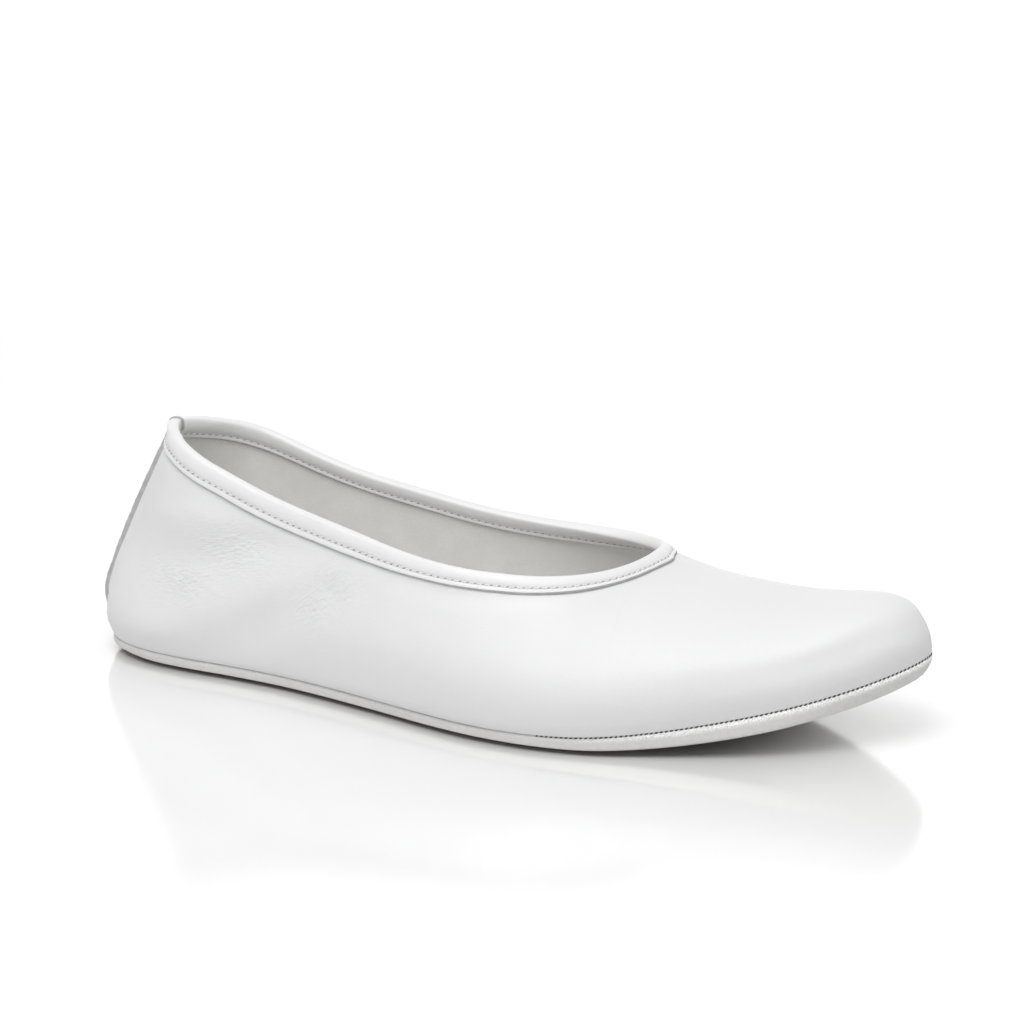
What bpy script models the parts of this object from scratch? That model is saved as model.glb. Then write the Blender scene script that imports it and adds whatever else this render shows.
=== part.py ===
"""Folk dance shoe for the right foot: a soft leather slip-on with a bound collar and a thin sole.

The shoe is drawn in millimetres over its last and written in metres.  Along x the shoe runs from the
back of the heel to the tip of the toe, +y is the medial side and z = 0 is the floor.  The finished
shoe is moved so that the origin is the middle of its bounding box, on the floor.
"""
import math

import bmesh
import bpy
import numpy as np

MM = 0.001

# Driving dimensions, in millimetres
LENGTH = 258.0           # back of the heel wall to the toe tip
HEEL_X = 50.0            # the round back of the heel lies behind this station
WALL = 1.4               # leather of the upper
GAP = 0.3                # clearance between neighbouring pieces
TOE_SPRING = 17.6        # height of the sole's underside at the toe tip
BALL_X = 168.5           # the sole is flat from the heel to here
SPRING_POWER = 2.0
TOE_SWING = 7.2          # the toe tip lies this far towards the medial side
SOLE_HEEL = 4.4          # height of the sole's edge at the heel and at the toe
SOLE_TOE = 6.7
SOLE_INSET_HEEL = 3.0    # the tread is set in this far from the sole's top edge
SOLE_INSET_TOE = 2.2
TUCK_HEEL = 2.5          # the upper draws in above the sole by this much
TUCK_TOE = 1.0
BELLY_HEEL = 11.0        # height of the widest line above the sole
BELLY_TOE = 6.0
THROAT_X = 180.0         # front of the foot opening
COLLAR_BACK = 72.4       # height of the collar at the back seam
BINDING_WIDTH = 5.6      # collar binding, outside and inside the wall
BINDING_INSIDE = 5.0
BINDING_THICK = 0.9
FIN_HEIGHT = 2.2         # the back seam stands out as a fin of the upper's own leather
FIN_HALF = 1.1
INSOLE_THICK = 1.6
INSOLE_INSET = 2.2

# Sections of the last: half widths from the centre line, and the arch's height above the sole's edge
SECTION_COLUMNS = ("x", "lateral", "medial", "arch")
SECTIONS = (
    (0.0, 22.5, 25.5, 116.0),
    (38.0, 25.7, 26.5, 112.0),
    (73.0, 29.4, 26.5, 100.0),
    (113.0, 39.5, 28.0, 80.0),
    (148.0, 47.8, 34.0, 59.3),
    (178.0, 47.2, 38.5, 40.9),
    (203.0, 40.5, 33.0, 30.5),
    (228.0, 36.2, 28.0, 27.3),
    (258.0, 30.6, 23.0, 35.9),
)

# Back of the heel: how far the wall stands in front of x = 0 at each height
BACK_COLUMNS = ("z", "x")
BACK = (
    (4.0, 3.6),
    (15.0, 0.3),
    (30.0, 4.0),
    (50.0, 13.7),
    (70.0, 24.6),
)

# Collar: how far round the arch each side reaches, in degrees, before it closes to the throat
COLLAR_COLUMNS = ("x", "angle")
COLLAR = (
    (50.0, 29.7),
    (73.0, 27.7),
    (113.0, 29.4),
    (148.0, 31.6),
)

# Where each line starts to close, and the power of the curve that closes it
CLOSE_WIDTH = (196.0, 1.93)
CLOSE_ARCH = (204.5, 1.86)
CLOSE_COLLAR = (106.5, 2.24)
RING_BACK = (2.2, 1.45)  # roundness of the heel at the back seam, at the sole and high up the wall
RING_SIDE = (3.0, 2.0)   # and where it runs into the sides

# Finishes: base colour and roughness
FINISHES = {
    "outsole": ((0.66, 0.64, 0.60), 0.75),
    "upper": ((0.86, 0.86, 0.86), 0.45),
    "insole": ((0.80, 0.79, 0.76), 0.90),
    "collar_binding": ((0.88, 0.88, 0.88), 0.40),
}
SHARP_EDGE = 40.0        # edges that turn by more degrees than this stay sharp

# How finely each stretch is divided
TOE_STEPS = 12
VAMP_STEPS = 2
SIDE_STEPS = 22
RING_STEPS = 12
ARCH_ROWS = 9
FLANK_ROWS = 4


def spline(table, column):
    """Natural cubic through one column of a table, as a function of its first column."""
    data = np.array(table)
    knots = data[:, 0]
    values = data[:, column]
    count = len(knots)
    step = np.diff(knots)
    slope = np.diff(values) / step
    matrix = np.eye(count)
    right = np.zeros(count)
    for i in range(1, count - 1):
        matrix[i, i - 1] = step[i - 1]
        matrix[i, i] = 2.0 * (step[i - 1] + step[i])
        matrix[i, i + 1] = step[i]
        right[i] = 6.0 * (slope[i] - slope[i - 1])
    bend = np.linalg.solve(matrix, right)

    def value(x):
        x = np.clip(x, knots[0], knots[-1])
        i = np.clip(np.searchsorted(knots, x) - 1, 0, count - 2)
        low = x - knots[i]
        high = knots[i + 1] - x
        width = step[i]
        curved = (bend[i] * high ** 3 + bend[i + 1] * low ** 3) / (6.0 * width)
        start = (values[i] / width - bend[i] * width / 6.0) * high
        end = (values[i + 1] / width - bend[i + 1] * width / 6.0) * low
        return curved + start + end

    return value


LATERAL_AT = spline(SECTIONS, SECTION_COLUMNS.index("lateral"))
MEDIAL_AT = spline(SECTIONS, SECTION_COLUMNS.index("medial"))
ARCH_AT = spline(SECTIONS, SECTION_COLUMNS.index("arch"))
BACK_AT = spline(BACK, BACK_COLUMNS.index("x"))
COLLAR_AT = spline(COLLAR, COLLAR_COLUMNS.index("angle"))


def ease(t):
    """Smooth step from 0 to 1."""
    t = np.clip(t, 0.0, 1.0)
    return t * t * (3.0 - 2.0 * t)


def blend(x, start, end, first, last):
    """First value up to start, last value from end, eased between them."""
    return first + (last - first) * ease((x - start) / (end - start))


def closing(x, start, power, end=LENGTH):
    """Factor that falls from 1 at start to 0 at end along a rounded curve."""
    t = np.clip((x - start) / (end - start), 0.0, 1.0)
    return np.maximum(1.0 - t ** power, 0.0) ** (1.0 / power)


def spring(x):
    """Height of the sole's underside."""
    t = np.clip((x - BALL_X) / (LENGTH - BALL_X), 0.0, None)
    return TOE_SPRING * t ** SPRING_POWER


def sole_top(x):
    """Height of the sole's top edge, where the upper meets it."""
    return spring(x) + blend(x, 138.0, 218.0, SOLE_HEEL, SOLE_TOE)


def centre(x):
    """The last's centre line, which swings to the medial side at the toe."""
    return TOE_SWING * ease((x - 128.0) / (LENGTH - 128.0))


def arch(x):
    """Height of the arch's top above the sole's edge."""
    return ARCH_AT(x) * closing(x, *CLOSE_ARCH)


def reach(x, side):
    """Half width of the last on one side, before the toe closes it."""
    return LATERAL_AT(x) if side < 0 else MEDIAL_AT(x)


def section(x, side, h):
    """Half width and height on one section: h 0 at the sole, 1 at the widest line, 2 at the top."""
    narrow = closing(x, *CLOSE_WIDTH)
    widest = reach(x, side) * narrow
    tuck = blend(x, 108.0, 208.0, TUCK_HEEL, TUCK_TOE) * narrow
    foot = sole_top(x) + GAP
    belly = np.minimum(blend(x, 68.0, 198.0, BELLY_HEEL, BELLY_TOE), 0.4 * arch(x))
    flank = np.clip(h, 0.0, 1.0) * math.pi / 2.0
    turn = np.clip(h - 1.0, 0.0, 1.0) * math.pi / 2.0
    low_width = widest - tuck + tuck * np.sin(flank)
    low_height = belly * (1.0 - np.cos(flank))
    high_width = widest * np.cos(turn)
    high_height = belly + (arch(x) - belly) * np.sin(turn)
    width = np.where(h < 1.0, low_width, high_width)
    height = np.where(h < 1.0, low_height, high_height)
    return width, foot + height


def surface(s, side, h):
    """Outside of the upper.  s is x in front of HEEL_X, and behind it runs round to the back at 0."""
    s, h = np.broadcast_arrays(np.asarray(s, float), np.asarray(h, float))
    x = np.maximum(s, HEEL_X)
    width, z = section(x, side, h)
    share = np.sin(np.clip(s / HEEL_X, 0.0, 1.0) * math.pi / 2.0) ** 1.2
    at_back = blend(z, SOLE_HEEL, 40.0, *RING_BACK)
    at_side = blend(z, SOLE_HEEL, 40.0, *RING_SIDE)
    depth = np.maximum(1.0 - share ** at_back, 0.0) ** (1.0 / at_side)
    x = np.where(s < HEEL_X, HEEL_X - (HEEL_X - BACK_AT(z)) * depth, x)
    taper = reach(x, side) / reach(HEEL_X, side) * share
    y = centre(x) + side * width * np.where(s < HEEL_X, taper, 1.0)
    return np.stack([x, y, z], axis=-1)


def ring_station(y):
    """Station on the heel's round back that lies about y from the back seam."""
    share = y / LATERAL_AT(HEEL_X)
    return HEEL_X * math.asin(share ** (1.0 / 1.2)) / (math.pi / 2.0)


def collar(s):
    """The h at which the upper ends at the foot opening; 2 in front of the throat."""
    s = np.asarray(s, float)
    x = np.clip(s, HEEL_X, THROAT_X)
    angle = 90.0 - (90.0 - COLLAR_AT(x)) * closing(x, *CLOSE_COLLAR, end=THROAT_X)
    foot = sole_top(HEEL_X) + GAP + BELLY_HEEL
    rise = arch(HEEL_X) - BELLY_HEEL
    side_height = rise * math.sin(math.radians(COLLAR[0][1]))
    back = np.cos(np.clip(s / HEEL_X, 0.0, 1.0) * math.pi / 2.0)
    height = side_height + (COLLAR_BACK - foot - side_height) * back
    around = np.degrees(np.arcsin(np.clip(height / rise, 0.0, 1.0)))
    return 1.0 + np.where(s < HEEL_X, around, angle) / 90.0


def stations():
    """Stations of one side from the toe tip to the back seam, closer together where it bends."""
    toe = CLOSE_WIDTH[0] + (LENGTH - CLOSE_WIDTH[0]) * np.cos(np.linspace(0.0, math.pi / 2.0, TOE_STEPS + 1))
    vamp = np.linspace(CLOSE_WIDTH[0], THROAT_X, VAMP_STEPS + 1)[1:]
    turn = np.linspace(math.pi / 2.0, 0.0, SIDE_STEPS + 1)[1:]
    side = HEEL_X + (THROAT_X - HEEL_X) * np.sin(turn)
    join = (HEEL_X + 6.0, HEEL_X + 3.0, HEEL_X)
    ring = np.linspace(HEEL_X, 0.0, RING_STEPS + 1)[1:-1]
    fin = (ring_station(FIN_HALF), ring_station(0.7 * FIN_HALF), 0.0)
    return np.concatenate([toe, vamp, side[:-1], join, ring, fin])


def loop_stations():
    """(station, side) pairs from the lateral toe round the heel to the medial toe."""
    one = stations()
    pairs = [(s, -1) for s in one]
    pairs += [(s, 1) for s in one[-2::-1]]
    return pairs


def column(s, side):
    """One line of points up the wall from the sole to the collar or to the vamp's middle line."""
    top = float(collar(s)) if s < THROAT_X else 2.0
    flank = np.linspace(0.0, 1.0, FLANK_ROWS)
    fine = np.linspace(1.0, top, 80)
    path = surface(s, side, fine)
    along = np.concatenate([[0.0], np.cumsum(np.linalg.norm(np.diff(path, axis=0), axis=1))])
    edge = min(BINDING_WIDTH + 1.6, 0.3 * along[-1])
    rows = np.concatenate([np.linspace(0.0, along[-1] - edge, ARCH_ROWS)[1:],
                           along[-1] - edge * np.array([0.9, 0.45, 0.0])])
    high = np.interp(rows, along, fine)
    return surface(s, side, np.concatenate([flank, high]))


def merged(points, limit=1e-4):
    """Index of each point with points at the same place given one index, and the places."""
    flat = points.reshape(-1, 3)
    keys = np.round(flat / limit).astype(np.int64)
    places, first, index = np.unique(keys, axis=0, return_index=True, return_inverse=True)
    return index.reshape(points.shape[:-1]), flat[first]


def grid_faces(index):
    """Quads of a grid of vertex indices, with collapsed corners dropped."""
    faces = []
    for i in range(index.shape[0] - 1):
        for j in range(index.shape[1] - 1):
            corners = [index[i, j], index[i + 1, j], index[i + 1, j + 1], index[i, j + 1]]
            kept = [c for k, c in enumerate(corners) if c != corners[k - 1]]
            if len(set(kept)) > 2:
                faces.append(kept)
    return faces


def vertex_normals(places, faces):
    """Unit normals at the vertices, from the faces around them."""
    total = np.zeros_like(places)
    for face in faces:
        corners = places[face]
        normal = np.zeros(3)
        for k in range(1, len(face) - 1):
            normal += np.cross(corners[k] - corners[0], corners[k + 1] - corners[0])
        for corner in face:
            total[corner] += normal
    length = np.linalg.norm(total, axis=1)
    return total / np.maximum(length, 1e-12)[:, None]


def finish(name):
    """Material of one piece."""
    colour, roughness = FINISHES[name]
    material = bpy.data.materials.new(name)
    material.use_nodes = True
    shader = material.node_tree.nodes["Principled BSDF"]
    shader.inputs["Base Color"].default_value = (*colour, 1.0)
    shader.inputs["Roughness"].default_value = roughness
    shader.inputs["Metallic"].default_value = 0.0
    return material


def solid(name, points, faces):
    """Mesh object from points in millimetres and faces, outward facing."""
    mesh = bpy.data.meshes.new(name)
    shell = bmesh.new()
    vertices = [shell.verts.new(point * MM) for point in points]
    for face in faces:
        shell.faces.new([vertices[i] for i in face])
    bmesh.ops.recalc_face_normals(shell, faces=shell.faces)
    loose = [v for v in shell.verts if not v.link_faces]
    bmesh.ops.delete(shell, geom=loose, context="VERTS")
    shell.to_mesh(mesh)
    shell.free()
    mesh.shade_smooth()
    mesh.set_sharp_from_angle(angle=math.radians(SHARP_EDGE))
    mesh.materials.append(finish(name))
    return bpy.data.objects.new(name, mesh)


def fin_height(z):
    """How far the back seam stands out at a height; it fades into the heel above the sole."""
    return FIN_HEIGHT * ease((z - 7.0) / 9.0)


def make_upper():
    """One-piece vamp and quarters with a real wall, open at the collar and underneath."""
    pairs = loop_stations()
    outer = np.stack([column(s, side) for s, side in pairs])
    index, places = merged(outer)
    faces = grid_faces(index)
    normals = vertex_normals(places, faces)
    if np.sum(normals[index[len(pairs) // 4, 5]] * (0.0, -1.0, 0.0)) < 0.0:
        normals = -normals
    inner = places - WALL * normals
    inner[index[:, 0], 2] = places[index[:, 0], 2]
    proud = places.copy()
    middle = len(pairs) // 2
    for j in range(FLANK_ROWS + ARCH_ROWS - 1):
        for i in (middle - 1, middle, middle + 1):
            proud[index[i, j], 0] -= fin_height(places[index[middle, j], 2])
    count = len(places)
    faces += [[i + count for i in reversed(face)] for face in grid_faces(index)]
    for i in range(len(pairs) - 1):
        a, b = index[i, 0], index[i + 1, 0]
        faces.append([b, a, a + count, b + count])
        a, b = index[i, -1], index[i + 1, -1]
        if pairs[i][0] <= THROAT_X and pairs[i + 1][0] <= THROAT_X:
            faces.append([a, b, b + count, a + count])
    return solid("upper", np.concatenate([proud, inner]), faces)


def sole_outline():
    """Closed outline of the sole's top edge and its outward directions in plan."""
    one = [s for s in stations() if not 0.0 < s < 0.5 * HEEL_X / RING_STEPS]
    pairs = [(s, -1) for s in one] + [(s, 1) for s in one[-2:0:-1]]
    outline = np.stack([surface(s, side, 0.0) for s, side in pairs])
    along = np.roll(outline, -1, axis=0) - np.roll(outline, 1, axis=0)
    out = np.stack([along[:, 1], -along[:, 0], np.zeros(len(along))], axis=1)
    out /= np.linalg.norm(out, axis=1)[:, None]
    if out[0, 0] < 0.0:
        out = -out
    return outline, out


def plate(name, rings):
    """Solid from closed rings of points, ring by ring, with strips across the first and last."""
    count = len(rings[0])
    half = count // 2
    points = np.concatenate(rings)
    faces = []
    for r in range(len(rings) - 1):
        for i in range(count):
            j = (i + 1) % count
            faces.append([r * count + i, r * count + j, (r + 1) * count + j, (r + 1) * count + i])
    for start in (0, (len(rings) - 1) * count):
        for i in range(half):
            corners = [i, i + 1, (count - i - 1) % count, (count - i) % count]
            kept = [c for k, c in enumerate(corners) if c != corners[k - 1]]
            faces.append([start + c for c in kept])
    return solid(name, points, faces)


def make_outsole():
    """Soft leather sole: rounded edge, flat from the heel to the ball, with toe spring."""
    outline, out = sole_outline()
    inset = blend(outline[:, 0], 108.0, 208.0, SOLE_INSET_HEEL, SOLE_INSET_TOE)
    rise = sole_top(outline[:, 0]) - spring(outline[:, 0])
    profile = ((-0.4, 0.0, 1.0), (0.3, 0.0, 0.88), (0.25, 0.0, 0.55), (0.0, -0.35, 0.24),
               (0.0, -1.0, 0.06), (-1.4, -1.0, 0.0))
    rings = []
    for offset, share, level in profile:
        ring = outline + out * (offset + share * inset)[:, None]
        ring[:, 2] = spring(ring[:, 0]) + level * rise
        rings.append(ring)
    return plate("outsole", rings)


def make_insole():
    """Thin insole lying on the sole, inside the wall."""
    outline, out = sole_outline()
    rings = []
    for offset, height in ((0.8, 0.0), (0.0, 0.0), (0.0, INSOLE_THICK - 0.4), (0.6, INSOLE_THICK)):
        ring = outline - out * (INSOLE_INSET + offset)
        ring[:, 2] = sole_top(ring[:, 0]) + GAP + height
        rings.append(ring)
    return plate("insole", rings)


def frame_at(s, side, h, step=0.01):
    """Directions of the surface along s and h there, and the outward normal."""
    along = (surface(s + step * 10.0, side, h) - surface(max(s - step * 10.0, 0.0), side, h))
    along = along / (s + step * 10.0 - max(s - step * 10.0, 0.0))
    top = min(h + step, 2.0)
    up = (surface(s, side, top) - surface(s, side, top - 2.0 * step)) / (2.0 * step)
    normal = np.cross(along, up) * -side
    return along, up, normal / np.linalg.norm(normal)


def collar_frame(s, side):
    """Step in (s, h) that runs straight away from the collar's edge at one millimetre a unit."""
    h = float(collar(s))
    along, up, normal = frame_at(s, side, h)
    if s < 0.3 * HEEL_X:
        return 0.0, -1.0 / np.linalg.norm(up)
    if s >= THROAT_X:
        return 1.0 / np.linalg.norm(along), 0.0
    ahead = min(s + 0.05, THROAT_X)
    tangent = surface(ahead, side, collar(ahead)) - surface(s - 0.05, side, collar(s - 0.05))
    down = np.cross(normal, tangent)
    down /= np.linalg.norm(down)
    if np.sum(down * up) > 0.0:
        down = -down
    step = np.linalg.lstsq(np.stack([along, up], axis=1), down, rcond=None)[0]
    return float(step[0]), float(step[1])


def binding_section(s, side):
    """Closed section of the folded binding at one station of the collar."""
    ds, dh = collar_frame(s, side)
    h = float(collar(s))

    def wall(down, out):
        target = s + ds * down
        if target < HEEL_X <= s:
            target = HEEL_X - (HEEL_X - target) / np.linalg.norm(frame_at(HEEL_X - 0.2, side, h)[0])
        there = (max(target, 0.0), side, h + dh * down)
        normal = frame_at(*there)[2]
        return surface(*there) + normal * out

    edge = surface(s, side, h)
    rise = edge - surface(max(s + ds, 0.0), side, h + dh)
    rise /= np.linalg.norm(rise)
    normal = frame_at(s, side, h)[2]
    back = float(abs(s) < ring_station(0.9 * FIN_HALF))
    fin = back * (FIN_HEIGHT - GAP - BINDING_THICK)
    face = GAP + BINDING_THICK
    lift = GAP + BINDING_THICK
    points = [wall(BINDING_WIDTH, GAP), wall(BINDING_WIDTH, face + fin),
              wall(0.5 * BINDING_WIDTH, face + fin), wall(0.0, face + fin)]
    points += [edge + rise * 0.75 * lift + normal * (0.55 * face + fin),
               edge + rise * lift - normal * 0.5 * WALL,
               edge + rise * 0.75 * lift - normal * (WALL + 0.55 * face)]
    points += [wall(0.0, -WALL - face), wall(0.5 * BINDING_INSIDE, -WALL - face),
               wall(BINDING_INSIDE, -WALL - face), wall(BINDING_INSIDE, -WALL - GAP),
               wall(0.5 * BINDING_INSIDE, -WALL - GAP)]
    points += [edge + rise * GAP - normal * (WALL + GAP), edge + rise * GAP + normal * GAP,
               wall(0.5 * BINDING_WIDTH, GAP)]
    return np.stack(points)


def make_binding():
    """Folded strip round the foot opening, outside and inside the wall, as one closed ring."""
    one = [s for s in stations() if s <= THROAT_X]
    pairs = [(s, -1) for s in one] + [(s, 1) for s in one[-2:0:-1]]
    rings = [binding_section(s, side) for s, side in pairs]
    count = len(rings[0])
    points = np.concatenate(rings)
    faces = []
    for r in range(len(rings)):
        q = (r + 1) % len(rings)
        for i in range(count):
            j = (i + 1) % count
            faces.append([r * count + i, q * count + i, q * count + j, r * count + j])
    return solid("collar_binding", points, faces)


def clear_scene():
    """Take out the objects that are in the scene already."""
    for thing in list(bpy.data.objects):
        bpy.data.objects.remove(thing, do_unlink=True)


def assemble(things):
    """Hang the pieces on one empty, with the origin at the middle of the shoe's box, on the floor."""
    shoe = bpy.data.collections.new("folk_dance_shoe")
    bpy.context.scene.collection.children.link(shoe)
    last = bpy.data.objects.new("last", None)
    shoe.objects.link(last)
    corners = np.array([v.co for thing in things for v in thing.data.vertices])
    low = corners.min(axis=0)
    high = corners.max(axis=0)
    last.location = (-0.5 * (low[0] + high[0]), -0.5 * (low[1] + high[1]), -low[2])
    for thing in things:
        shoe.objects.link(thing)
        thing.parent = last


clear_scene()
assemble([make_outsole(), make_upper(), make_insole(), make_binding()])
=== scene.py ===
"""Dresses the folk dance shoe: fine leather upper, back seam, bound collar, stitches, sole and studio."""
import math

import bpy
import numpy as np
from bpy.props import FloatProperty, FloatVectorProperty, PointerProperty
from bpy.types import Operator, Panel, PropertyGroup
from mathutils import Matrix, Vector


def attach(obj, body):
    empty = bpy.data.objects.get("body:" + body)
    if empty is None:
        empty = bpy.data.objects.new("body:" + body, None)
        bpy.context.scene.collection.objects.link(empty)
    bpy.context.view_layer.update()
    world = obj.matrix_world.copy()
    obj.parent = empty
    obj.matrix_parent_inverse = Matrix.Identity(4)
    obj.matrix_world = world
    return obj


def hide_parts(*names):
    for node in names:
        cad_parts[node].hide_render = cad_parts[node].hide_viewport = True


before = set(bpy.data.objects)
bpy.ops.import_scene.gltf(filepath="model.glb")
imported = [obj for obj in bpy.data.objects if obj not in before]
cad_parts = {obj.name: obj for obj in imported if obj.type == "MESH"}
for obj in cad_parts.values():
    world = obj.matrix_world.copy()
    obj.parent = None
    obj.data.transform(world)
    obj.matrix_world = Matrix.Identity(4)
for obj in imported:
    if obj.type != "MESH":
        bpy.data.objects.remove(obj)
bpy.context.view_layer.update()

bl_info = {
    "name": "Folk dance shoe",
    "version": (1, 0, 0),
    "blender": (4, 5, 0),
    "location": "3D View > Sidebar > Shoe",
    "description": "Makes the leather, binding, stitches, sole and studio of a soft dance shoe",
    "category": "Object",
}

BODY = "root"
MM = 0.001

# The last, in millimetres: x from the back of the heel to the toe tip, +y medial, z = 0 the floor
LENGTH = 258.0            # back of the heel wall to the toe tip
HEEL_X = 50.0             # the round back of the heel lies behind this station
WALL = 1.4                # leather of the upper
GAP = 0.3                 # clearance between neighbouring pieces
TOE_SPRING = 17.6         # height of the sole's underside at the toe tip
BALL_X = 168.5            # the sole is flat from the heel to here
SPRING_POWER = 2.0
TOE_SWING = 7.2           # the toe tip lies this far towards the medial side
SWING_FROM = 128.0
SOLE_HEEL = 4.4           # height of the sole's edge at the heel and at the toe
SOLE_TOE = 6.7
SOLE_RAMP = (138.0, 218.0)
TUCK_HEEL = 2.5           # the upper draws in above the sole by this much
TUCK_TOE = 1.0
TUCK_RAMP = (108.0, 208.0)
BELLY_HEEL = 11.0         # height of the widest line above the sole
BELLY_TOE = 6.0
BELLY_RAMP = (68.0, 198.0)
BELLY_SHARE = 0.4         # it lies no higher than this share of the arch
THROAT_X = 180.0          # front of the foot opening
COLLAR_BACK = 72.4        # height of the collar at the back seam

# Sections of the last: x, half width on the lateral and the medial side, the arch's height above the sole
SECTIONS = (
    (0.0, 22.5, 25.5, 116.0),
    (38.0, 25.7, 26.5, 112.0),
    (73.0, 29.4, 26.5, 100.0),
    (113.0, 39.5, 28.0, 80.0),
    (148.0, 47.8, 34.0, 59.3),
    (178.0, 47.2, 38.5, 40.9),
    (203.0, 40.5, 33.0, 30.5),
    (228.0, 36.2, 28.0, 27.3),
    (258.0, 30.6, 23.0, 35.9),
)
# Back of the heel: height, and how far the wall stands in front of x = 0
BACK = ((4.0, 3.6), (15.0, 0.3), (30.0, 4.0), (50.0, 13.7), (70.0, 24.6))
# Collar: x, and how far round the arch each side reaches, in degrees, before it closes to the throat
COLLAR = ((50.0, 29.7), (73.0, 27.7), (113.0, 29.4), (148.0, 31.6))
# Where each line starts to close, and the power of the curve that closes it
CLOSE_WIDTH = (196.0, 1.93)
CLOSE_ARCH = (204.5, 1.86)
CLOSE_COLLAR = (106.5, 2.24)
RING_BACK = (2.2, 1.45)   # roundness of the heel at the back seam, at the sole and high up the wall
RING_SIDE = (3.0, 2.0)    # and where it runs into the sides
RING_HIGH = 40.0          # from this height the second value holds
RING_SPREAD = 1.2         # how the stations are spread round the heel
SEAM_SHARED = 1.5         # this near the back seam the two sides come to share one normal
SLOPE_S = 0.1             # steps along and up the surface over which its slopes are measured
SLOPE_H = 0.01

# How finely the pieces are divided
TOE_STEPS = 64
VAMP_STEPS = 14
SIDE_STEPS = 100
RING_STEPS = 56
FLANK_ROWS = 9
ARCH_ROWS = 52
OUTLINE_STEPS = 200
TREAD_STRIPS = 12
BINDING_STEP = 0.55       # millimetres along the collar
BINDING_ROLL_STEPS = 9
FIN_STEPS = 90
FIN_FOLD_STEPS = 14
FIN_INSIDE_STEPS = 6
SEAM_SIDES = 8
FLOOR_SIDES = 96
COLUMN_SAMPLES = 120      # fine points on which even spacing is worked out
COLLAR_SAMPLES = (500, 1500)
FIN_SAMPLES = 400
FIN_FROM = 0.02           # the back seam's line is sampled from this h

# Soft folds of the upper, seen from the side: start (x, z), end (x, z), half width, height
LATERAL_FOLDS = (
    ((10.0, 5.0), (94.0, 39.0), 8.5, 2.30),
    ((24.0, 31.0), (84.0, 49.0), 6.0, -1.10),
    ((26.0, 47.0), (60.0, 51.0), 5.0, 0.70),
    ((104.0, 40.0), (58.0, 14.0), 7.0, -1.00),
)
MEDIAL_FOLDS = (
    ((104.0, 42.0), (60.0, 16.0), 7.5, -1.20),
    ((86.0, 50.0), (34.0, 22.0), 8.0, 0.90),
    ((54.0, 52.0), (28.0, 38.0), 6.0, -0.90),
    ((138.0, 34.0), (108.0, 20.0), 8.0, -0.80),
    ((150.0, 30.0), (128.0, 18.0), 6.0, 0.60),
)
FOLD_FADE = 0.25          # share of a fold's length over which each end fades
FOLD_END = 0.35           # share of its height that is left at the ends
SIDE_BLEND = 12.0         # a side's folds fade in over this distance from the centre line
# Unevenness of the upper: height, length along x and along z, phase
UPPER_WAVES = ((0.10, 11.0, 17.0, 0.0), (0.08, -23.0, 7.5, 1.0))
# Distance from the collar and from the sole over which folds and roll fade in
FOLDS_CLEAR = ((7.0, 15.0), (1.0, 9.0))
ROLL_CLEAR = ((6.0, 12.0), (0.0, 3.5))
# Roll of the side, where it turns down to the sole: x, height above the sole, half width, relief
SIDE_ROLL = (
    (0.0, 7.0, 8.0, 0.0),
    (35.0, 9.0, 9.0, 0.3),
    (60.0, 12.0, 10.0, 0.9),
    (80.0, 15.0, 11.0, 1.7),
    (100.0, 17.0, 12.0, 2.6),
    (137.0, 16.5, 12.0, 2.8),
    (167.0, 12.0, 9.5, 2.3),
    (204.0, 9.5, 7.0, 1.3),
    (228.0, 6.5, 5.0, 0.9),
    (245.0, 5.5, 4.5, 0.7),
    (256.0, 5.0, 4.0, 0.3),
)
MEDIAL_ROLL = 0.8         # share of the roll on the medial side
# Crest round the forefoot, which climbs to the top of the toe
CREST_RAMP = (172.0, 205.0)
CREST_SPREAD = 0.23
CREST_RELIEF = 1.0
# Along the crest: x, and the upward lean of the leather's face
CREST_LEAN = (
    (172.0, 0.55), (205.0, 0.60), (223.0, 0.65), (235.0, 0.72), (243.5, 0.84), (250.0, 0.91), (258.0, 0.92),
)
PINCH = (6.6, 1.6, 0.12)  # groove under the binding: distance from the collar, half width, depth
# Patches of fine wrinkles on the quarters: x, z, reach along x, reach along z
WRINKLE_PATCHES = ((60.0, 41.0, 15.0, 7.0), (40.0, 30.0, 14.0, 6.0))
SLANTED_PATCHES = ((90.0, 29.0, 8.0, 8.0), (98.0, 37.0, 8.0, 6.0))
WRINKLE_STRETCH = (3.0, 3.0, 1.0)
WRINKLE_TURN = (0.0, -0.30, 0.0)
SLANTED_TURN = (0.0, -0.75, 0.0)
WRINKLE_DEPTH = 0.60
# Darkening of the upper: share at the line that it runs along, and how far it reaches; darker towards the
# sole, painted shade under the binding, painted shade beside the back seam
SOLE_DARKENING = (0.15, 1.4)
COLLAR_SHADE = (0.04, 0.8)
BACK_SEAM_SHADE = (0.4, 1.8)

# Collar binding: distance down from the edge, and out from the wall's outside
BINDING_WIDTH = 5.6
BINDING_OUTER = (
    (5.54, 0.10), (5.56, 0.18), (5.46, 0.40), (5.28, 0.64), (5.08, 0.80), (4.76, 0.90), (4.34, 0.92),
    (4.02, 0.88), (3.76, 0.82), (3.56, 0.76), (3.36, 0.82), (3.04, 0.97), (2.50, 1.14), (1.80, 1.28),
    (1.10, 1.34), (0.40, 1.26),
)
BINDING_INNER = (
    (0.40, 1.06), (1.10, 1.14), (1.90, 1.10), (2.60, 0.98), (3.10, 0.84), (3.40, 0.72), (3.66, 0.86),
    (4.10, 1.00), (4.40, 0.98), (4.62, 0.82), (4.92, 0.50), (5.00, 0.18),
)
BINDING_TURN = 0.4        # the fold over the edge starts and ends this far down
BINDING_BACK = 2.5        # the strip's back keeps clear of the wall down to here
BINDING_CLEAR = 0.2       # by this much
BINDING_CUT = (5.0, 4.4)  # the cut edge starts this far down outside and inside
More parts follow.
